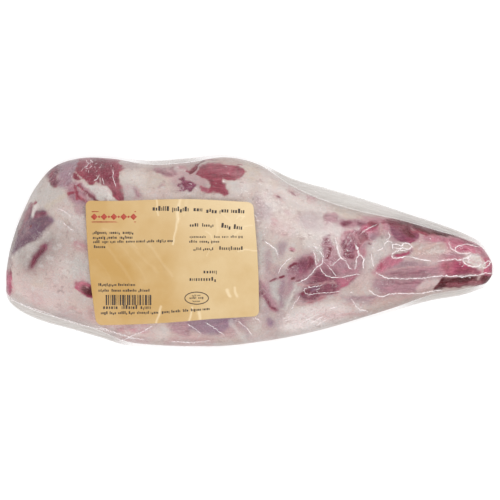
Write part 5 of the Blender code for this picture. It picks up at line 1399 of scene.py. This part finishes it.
BAND = (-107.0, -77.0, 23.6)             # left, right and level of the row of red lozenges


def on_label(across, down):
    """Where a point of the label lies in plan, in millimetres, from its shares of the label's width and height.
    The edges bow a little, as paper does on a round pack."""
    (ax, ay), (bx, by), (cx, cy), (dx, dy) = LABEL_CORNERS
    x = (ax * (1 - across) + bx * across) * (1 - down) + (dx * (1 - across) + cx * across) * down
    y = (ay * (1 - across) + by * across) * (1 - down) + (dy * (1 - across) + cy * across) * down
    bow = np.sin(np.pi * np.clip(down, 0, 1))
    x = x - 1.3 * bow * (1 - across) + 1.1 * bow * across
    y = y + 0.9 * np.sin(2 * np.pi * (across - 0.37)) * (1 - down) - 0.9 * np.sin(np.pi * np.clip(across * 1.4, 0, 1)) * down
    return x, y


def apply_modifiers(piece):
    deselect()
    piece.select_set(True)
    bpy.context.view_layer.objects.active = piece
    for modifier in list(piece.modifiers):
        bpy.ops.object.modifier_apply(modifier=modifier.name)


def lay_on(piece, target, gap):
    """Drops a flat piece straight down onto another."""
    lay = piece.modifiers.new("lay", "SHRINKWRAP")
    lay.target = target
    lay.wrap_method = "PROJECT"
    lay.use_project_z = True
    lay.use_negative_direction = True
    lay.use_positive_direction = False
    lay.wrap_mode = "ABOVE_SURFACE"
    lay.offset = gap
    apply_modifiers(piece)


class LAMB_OT_make_label(bpy.types.Operator):
    """Lay the paper label on the film"""
    bl_idname = "lamb.make_label"
    bl_label = "Paper label"

    def execute(self, context):
        looks = context.scene.lamb_label
        deselect()
        bpy.ops.mesh.primitive_plane_add(size=1.0)
        piece = context.object
        bpy.ops.object.mode_set(mode="EDIT")
        bpy.ops.mesh.select_all(action="SELECT")
        bpy.ops.transform.resize(value=(LABEL_SIZE[0], LABEL_SIZE[1], 1))
        bpy.ops.mesh.bevel(offset=LABEL_ROUND, segments=8, affect="VERTICES")
        bpy.ops.object.mode_set(mode="OBJECT")
        builder = bmesh.new()
        builder.from_mesh(piece.data)
        for axis, size, cells in ((0, LABEL_SIZE[0], 150), (1, LABEL_SIZE[1], 108)):
            for cut in range(1, cells):
                at, normal = Vector((0, 0, 0)), Vector((0, 0, 0))
                at[axis], normal[axis] = size * (cut / cells - 0.5), 1
                bmesh.ops.bisect_plane(builder, geom=builder.verts[:] + builder.edges[:] + builder.faces[:],
                                       plane_co=at, plane_no=normal)
        builder.to_mesh(piece.data)
        builder.free()
        flat = coordinates(piece) * MM
        x, y = on_label(flat[:, 0] / LABEL_SIZE[0] + 0.5, 0.5 - flat[:, 1] / LABEL_SIZE[1])
        place_points(piece, np.stack([x, y, np.full(len(x), 90.0)], axis=1))
        lay_on(piece, bpy.data.objects["shrink_film"], looks.gap)

        points = coordinates(piece)
        plan = points[:, :2]
        lift, pale = np.zeros(len(points)), np.zeros(len(points))
        for half_width, height, paleness, line in LABEL_CREASES:
            away = distance_to(plan + 0.3 * np.stack([ripple(plan, 4, 21), ripple(plan, 4, 22)], axis=1), line, False)
            ridge = np.exp(-((away / half_width) ** 2))
            lift += height * ridge
            # How pale: partly the paper's own whitening on a crease, partly painted highlight on its ridge.
            pale = np.maximum(pale, paleness * ridge)
        lift += 0.12 * (1 + ripple(plan, 9, 23))
        points[:, 2] += np.maximum(lift, 0.0)
        place_points(piece, points)
        store(piece, "crease", pale)
        thicken = piece.modifiers.new("paper", "SOLIDIFY")
        thicken.thickness = looks.thickness
        thicken.offset = 1.0
        apply_modifiers(piece)
        finish_piece(piece, "paper_label", paper_material(looks), "label", slot="label_paper")
        return {"FINISHED"}


def flat_stamp(name, segments):
    """A flat mark to copy: a square of side 1, cut into a few strips along its height."""
    deselect()
    bpy.ops.mesh.primitive_grid_add(x_subdivisions=1, y_subdivisions=segments, size=1.0)
    made = bpy.context.object
    made.name = name
    return made


class LAMB_OT_make_print(bpy.types.Operator):
    """Print the label's generic marks: rows of dashes, upright bars, an oval ring and a row of lozenges"""
    bl_idname = "lamb.make_print"
    bl_label = "Print on the label"

    def marks(self):
        """Each dark mark's middle, size and turn."""
        rng = random.Random(11)
        for (x0, y0), (x1, y1), height, bold, words in PRINT_ROWS:
            length, turn = math.dist((x0, y0), (x1, y1)), math.atan2(y1 - y0, x1 - x0)
            gap = height * 0.55
            sizes = [rng.uniform(0.7, 1.4) for _ in range(words)]
            room = length - gap * (words - 1)
            at = 0.0
            for size in sizes:
                end = at + room * size / sum(sizes)
                while at < end - 0.3 * height:
                    wide = min(rng.choice((0.2, 0.34, 0.42, 0.5)) * height, end - at)
                    tall = height * rng.choice((0.62, 0.62, 0.66, 0.66, 0.95))
                    low = 0.0 if rng.random() > 0.15 else -0.25 * height
                    middle = (at + wide / 2, low + tall / 2)
                    yield (
                        x0 + middle[0] * math.cos(turn) - middle[1] * math.sin(turn),
                        y0 - height * 0.35 + middle[0] * math.sin(turn) + middle[1] * math.cos(turn),
                        wide * (0.55 + 0.35 * bold), tall * (0.7 + 0.3 * bold), turn,
                    )
                    at += wide + height * 0.16
                at = end + gap
        left, right, top, bottom = BARS
        at = left
        while at < right:
            wide = rng.choice((0.33, 0.33, 0.66, 0.66, 0.99, 1.32))
            yield (at + wide / 2, (top + bottom) / 2, wide * 0.95, top - bottom, 0.0)
            at += wide + rng.choice((0.33, 0.33, 0.66, 0.99))

    def place(self, context, stamp, marks, name, material):
        copies = []
        for x, y, wide, tall, turn in marks:
            made = stamp.copy()
            made.data = stamp.data.copy()
            made.data.transform(
                Matrix.Translation(Vector((x, y, 90)) * MM) @ Matrix.Rotation(turn, 4, "Z")
                @ Matrix.Diagonal((wide * MM, tall * MM, 1, 1))
            )
            context.scene.collection.objects.link(made)
            copies.append(made)
        deselect()
        for made in copies:
            made.select_set(True)
        context.view_layer.objects.active = copies[0]
        bpy.ops.object.join()
        piece = context.object
        lay_on(piece, bpy.data.objects["paper_label"], 0.00004)
        thicken = piece.modifiers.new("ink", "SOLIDIFY")
        thicken.thickness = 0.00003
        thicken.offset = 1.0
        apply_modifiers(piece)
        return finish_piece(piece, name, material, slot="label_paper")

    def execute(self, context):
        looks = context.scene.lamb_label
        stamp = flat_stamp("stamp", 4)
        cx, cy, half_x, half_y, half_width = OVAL
        oval = []
        for number in range(64):
            a, b = (2 * math.pi * (number + step) / 64 for step in (0, 1))
            start = (cx + half_x * math.cos(a), cy + half_y * math.sin(a))
            end = (cx + half_x * math.cos(b), cy + half_y * math.sin(b))
            oval.append(((start[0] + end[0]) / 2, (start[1] + end[1]) / 2, math.dist(start, end) * 1.08, 2 * half_width,
                         math.atan2(end[1] - start[1], end[0] - start[0])))
        self.place(context, stamp, [*self.marks(), *oval], "dark_print", ink_material("dark_ink", looks.ink))
        left, right, level = BAND
        lozenges = []
        for number in range(9):
            x = left + (right - left) * (number + 0.5) / 9
            size = 1.3 if number % 2 else 3.2
            lozenges.append((x, level, size, size, math.radians(45)))
        for down in (-3.5, 3.5):
            lozenges.append(((left + right) / 2, level + down, right - left, 0.55, 0.0))
        self.place(context, stamp, lozenges, "red_print", ink_material("red_ink", looks.red_ink))
        bpy.data.objects.remove(stamp)
        return {"FINISHED"}


class LAMB_OT_make_stage(bpy.types.Operator):
    """Set the pale table, the soft light and the camera that looks straight down"""
    bl_idname = "lamb.make_stage"
    bl_label = "Stage"

    def execute(self, context):
        looks = context.scene.lamb_stage
        scene = context.scene
        deselect()
        bpy.ops.mesh.primitive_plane_add(size=8.0, location=(0, 0, -0.0002))
        table = context.object
        table.name = "table"
        material, tree, shader, _ = new_material("table_top")
        shader.inputs["Base Color"].default_value = (0.4, 0.4, 0.4, 1)
        shader.inputs["Roughness"].default_value = 0.9
        shader.inputs["Specular IOR Level"].default_value = 0.0
        shader.inputs["Emission Color"].default_value = (1, 1, 1, 1)
        shader.inputs["Emission Strength"].default_value = 0.74
        table.data.materials.append(material)

        world = bpy.data.worlds.new("pale_studio")
        world.use_nodes = True
        sky = world.node_tree
        up = sky.nodes.new("ShaderNodeSeparateXYZ")
        sky.links.new(sky.nodes.new("ShaderNodeTexCoord").outputs["Generated"], up.inputs[0])
        level = node(sky, "MapRange", Value=up.outputs["Z"], From_Min=0.0, From_Max=1.0,
                     To_Min=looks.horizon_light, To_Max=looks.zenith_light)
        sky.nodes["Background"].inputs["Color"].default_value = (1, 1, 1, 1)
        sky.links.new(level.outputs[0], sky.nodes["Background"].inputs["Strength"])
        scene.world = world
        for name, at, size, power in (
            ("key_light", (0.8, 0.7, 0.75), (0.4, 0.8), looks.key_power),
            ("fill_light", (-0.5, -0.7, 0.9), (0.8, 0.8), looks.key_power * 0.8),
        ):
            light = bpy.data.lights.new(name, "AREA")
            light.shape = "RECTANGLE"
            light.size, light.size_y, light.energy = *size, power
            lamp = bpy.data.objects.new(name, light)
            lamp.location = at
            lamp.rotation_euler = (Vector((0, 0, 0.03)) - Vector(at)).to_track_quat("-Z", "Y").to_euler()
            lamp.visible_camera = False
            lamp.visible_glossy = name == "key_light"
            scene.collection.objects.link(lamp)

        camera = bpy.data.cameras.new("camera")
        camera.sensor_width = 36.0
        camera.lens = 36.0 * (looks.camera_height - 0.02) / looks.view_width
        camera.clip_end = 50.0
        holder = bpy.data.objects.new("camera", camera)
        holder.location = (0.0004, 0.00107, looks.camera_height)
        scene.collection.objects.link(holder)
        scene.camera = holder
        scene.view_settings.view_transform = "Standard"
        return {"FINISHED"}


class LAMB_PT_panel(bpy.types.Panel):
    """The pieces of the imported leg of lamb"""
    bl_idname = "LAMB_PT_panel"
    bl_label = "Packed leg of lamb"
    bl_space_type = "VIEW_3D"
    bl_region_type = "UI"
    bl_category = "Lamb"

    def draw(self, context):
        for piece in PIECES:
            self.layout.operator(piece.bl_idname)
        for title, group in (("Meat", context.scene.lamb_meat), ("Film", context.scene.lamb_film),
                             ("Label", context.scene.lamb_label), ("Stage", context.scene.lamb_stage)):
            box = self.layout.box()
            box.label(text=title)
            for name in group.__annotations__:
                box.prop(group, name)


SETTINGS = {
    "lamb_meat": LambMeatSettings,
    "lamb_film": LambFilmSettings,
    "lamb_label": LambLabelSettings,
    "lamb_stage": LambStageSettings,
}
PIECES = (LAMB_OT_make_meat, LAMB_OT_make_film, LAMB_OT_make_folds, LAMB_OT_make_label, LAMB_OT_make_print, LAMB_OT_make_stage)


def register():
    for made in (*SETTINGS.values(), *PIECES, LAMB_PT_panel):
        bpy.utils.register_class(made)
    for name, group in SETTINGS.items():
        setattr(bpy.types.Scene, name, PointerProperty(type=group))


def unregister():
    for name in SETTINGS:
        delattr(bpy.types.Scene, name)
    for made in reversed((*SETTINGS.values(), *PIECES, LAMB_PT_panel)):
        bpy.utils.unregister_class(made)


def main():
    register()
    for make in (bpy.ops.lamb.make_meat, bpy.ops.lamb.make_film, bpy.ops.lamb.make_folds, bpy.ops.lamb.make_label,
                 bpy.ops.lamb.make_print, bpy.ops.lamb.make_stage):
        make()


if __name__ == "__main__":
    main()
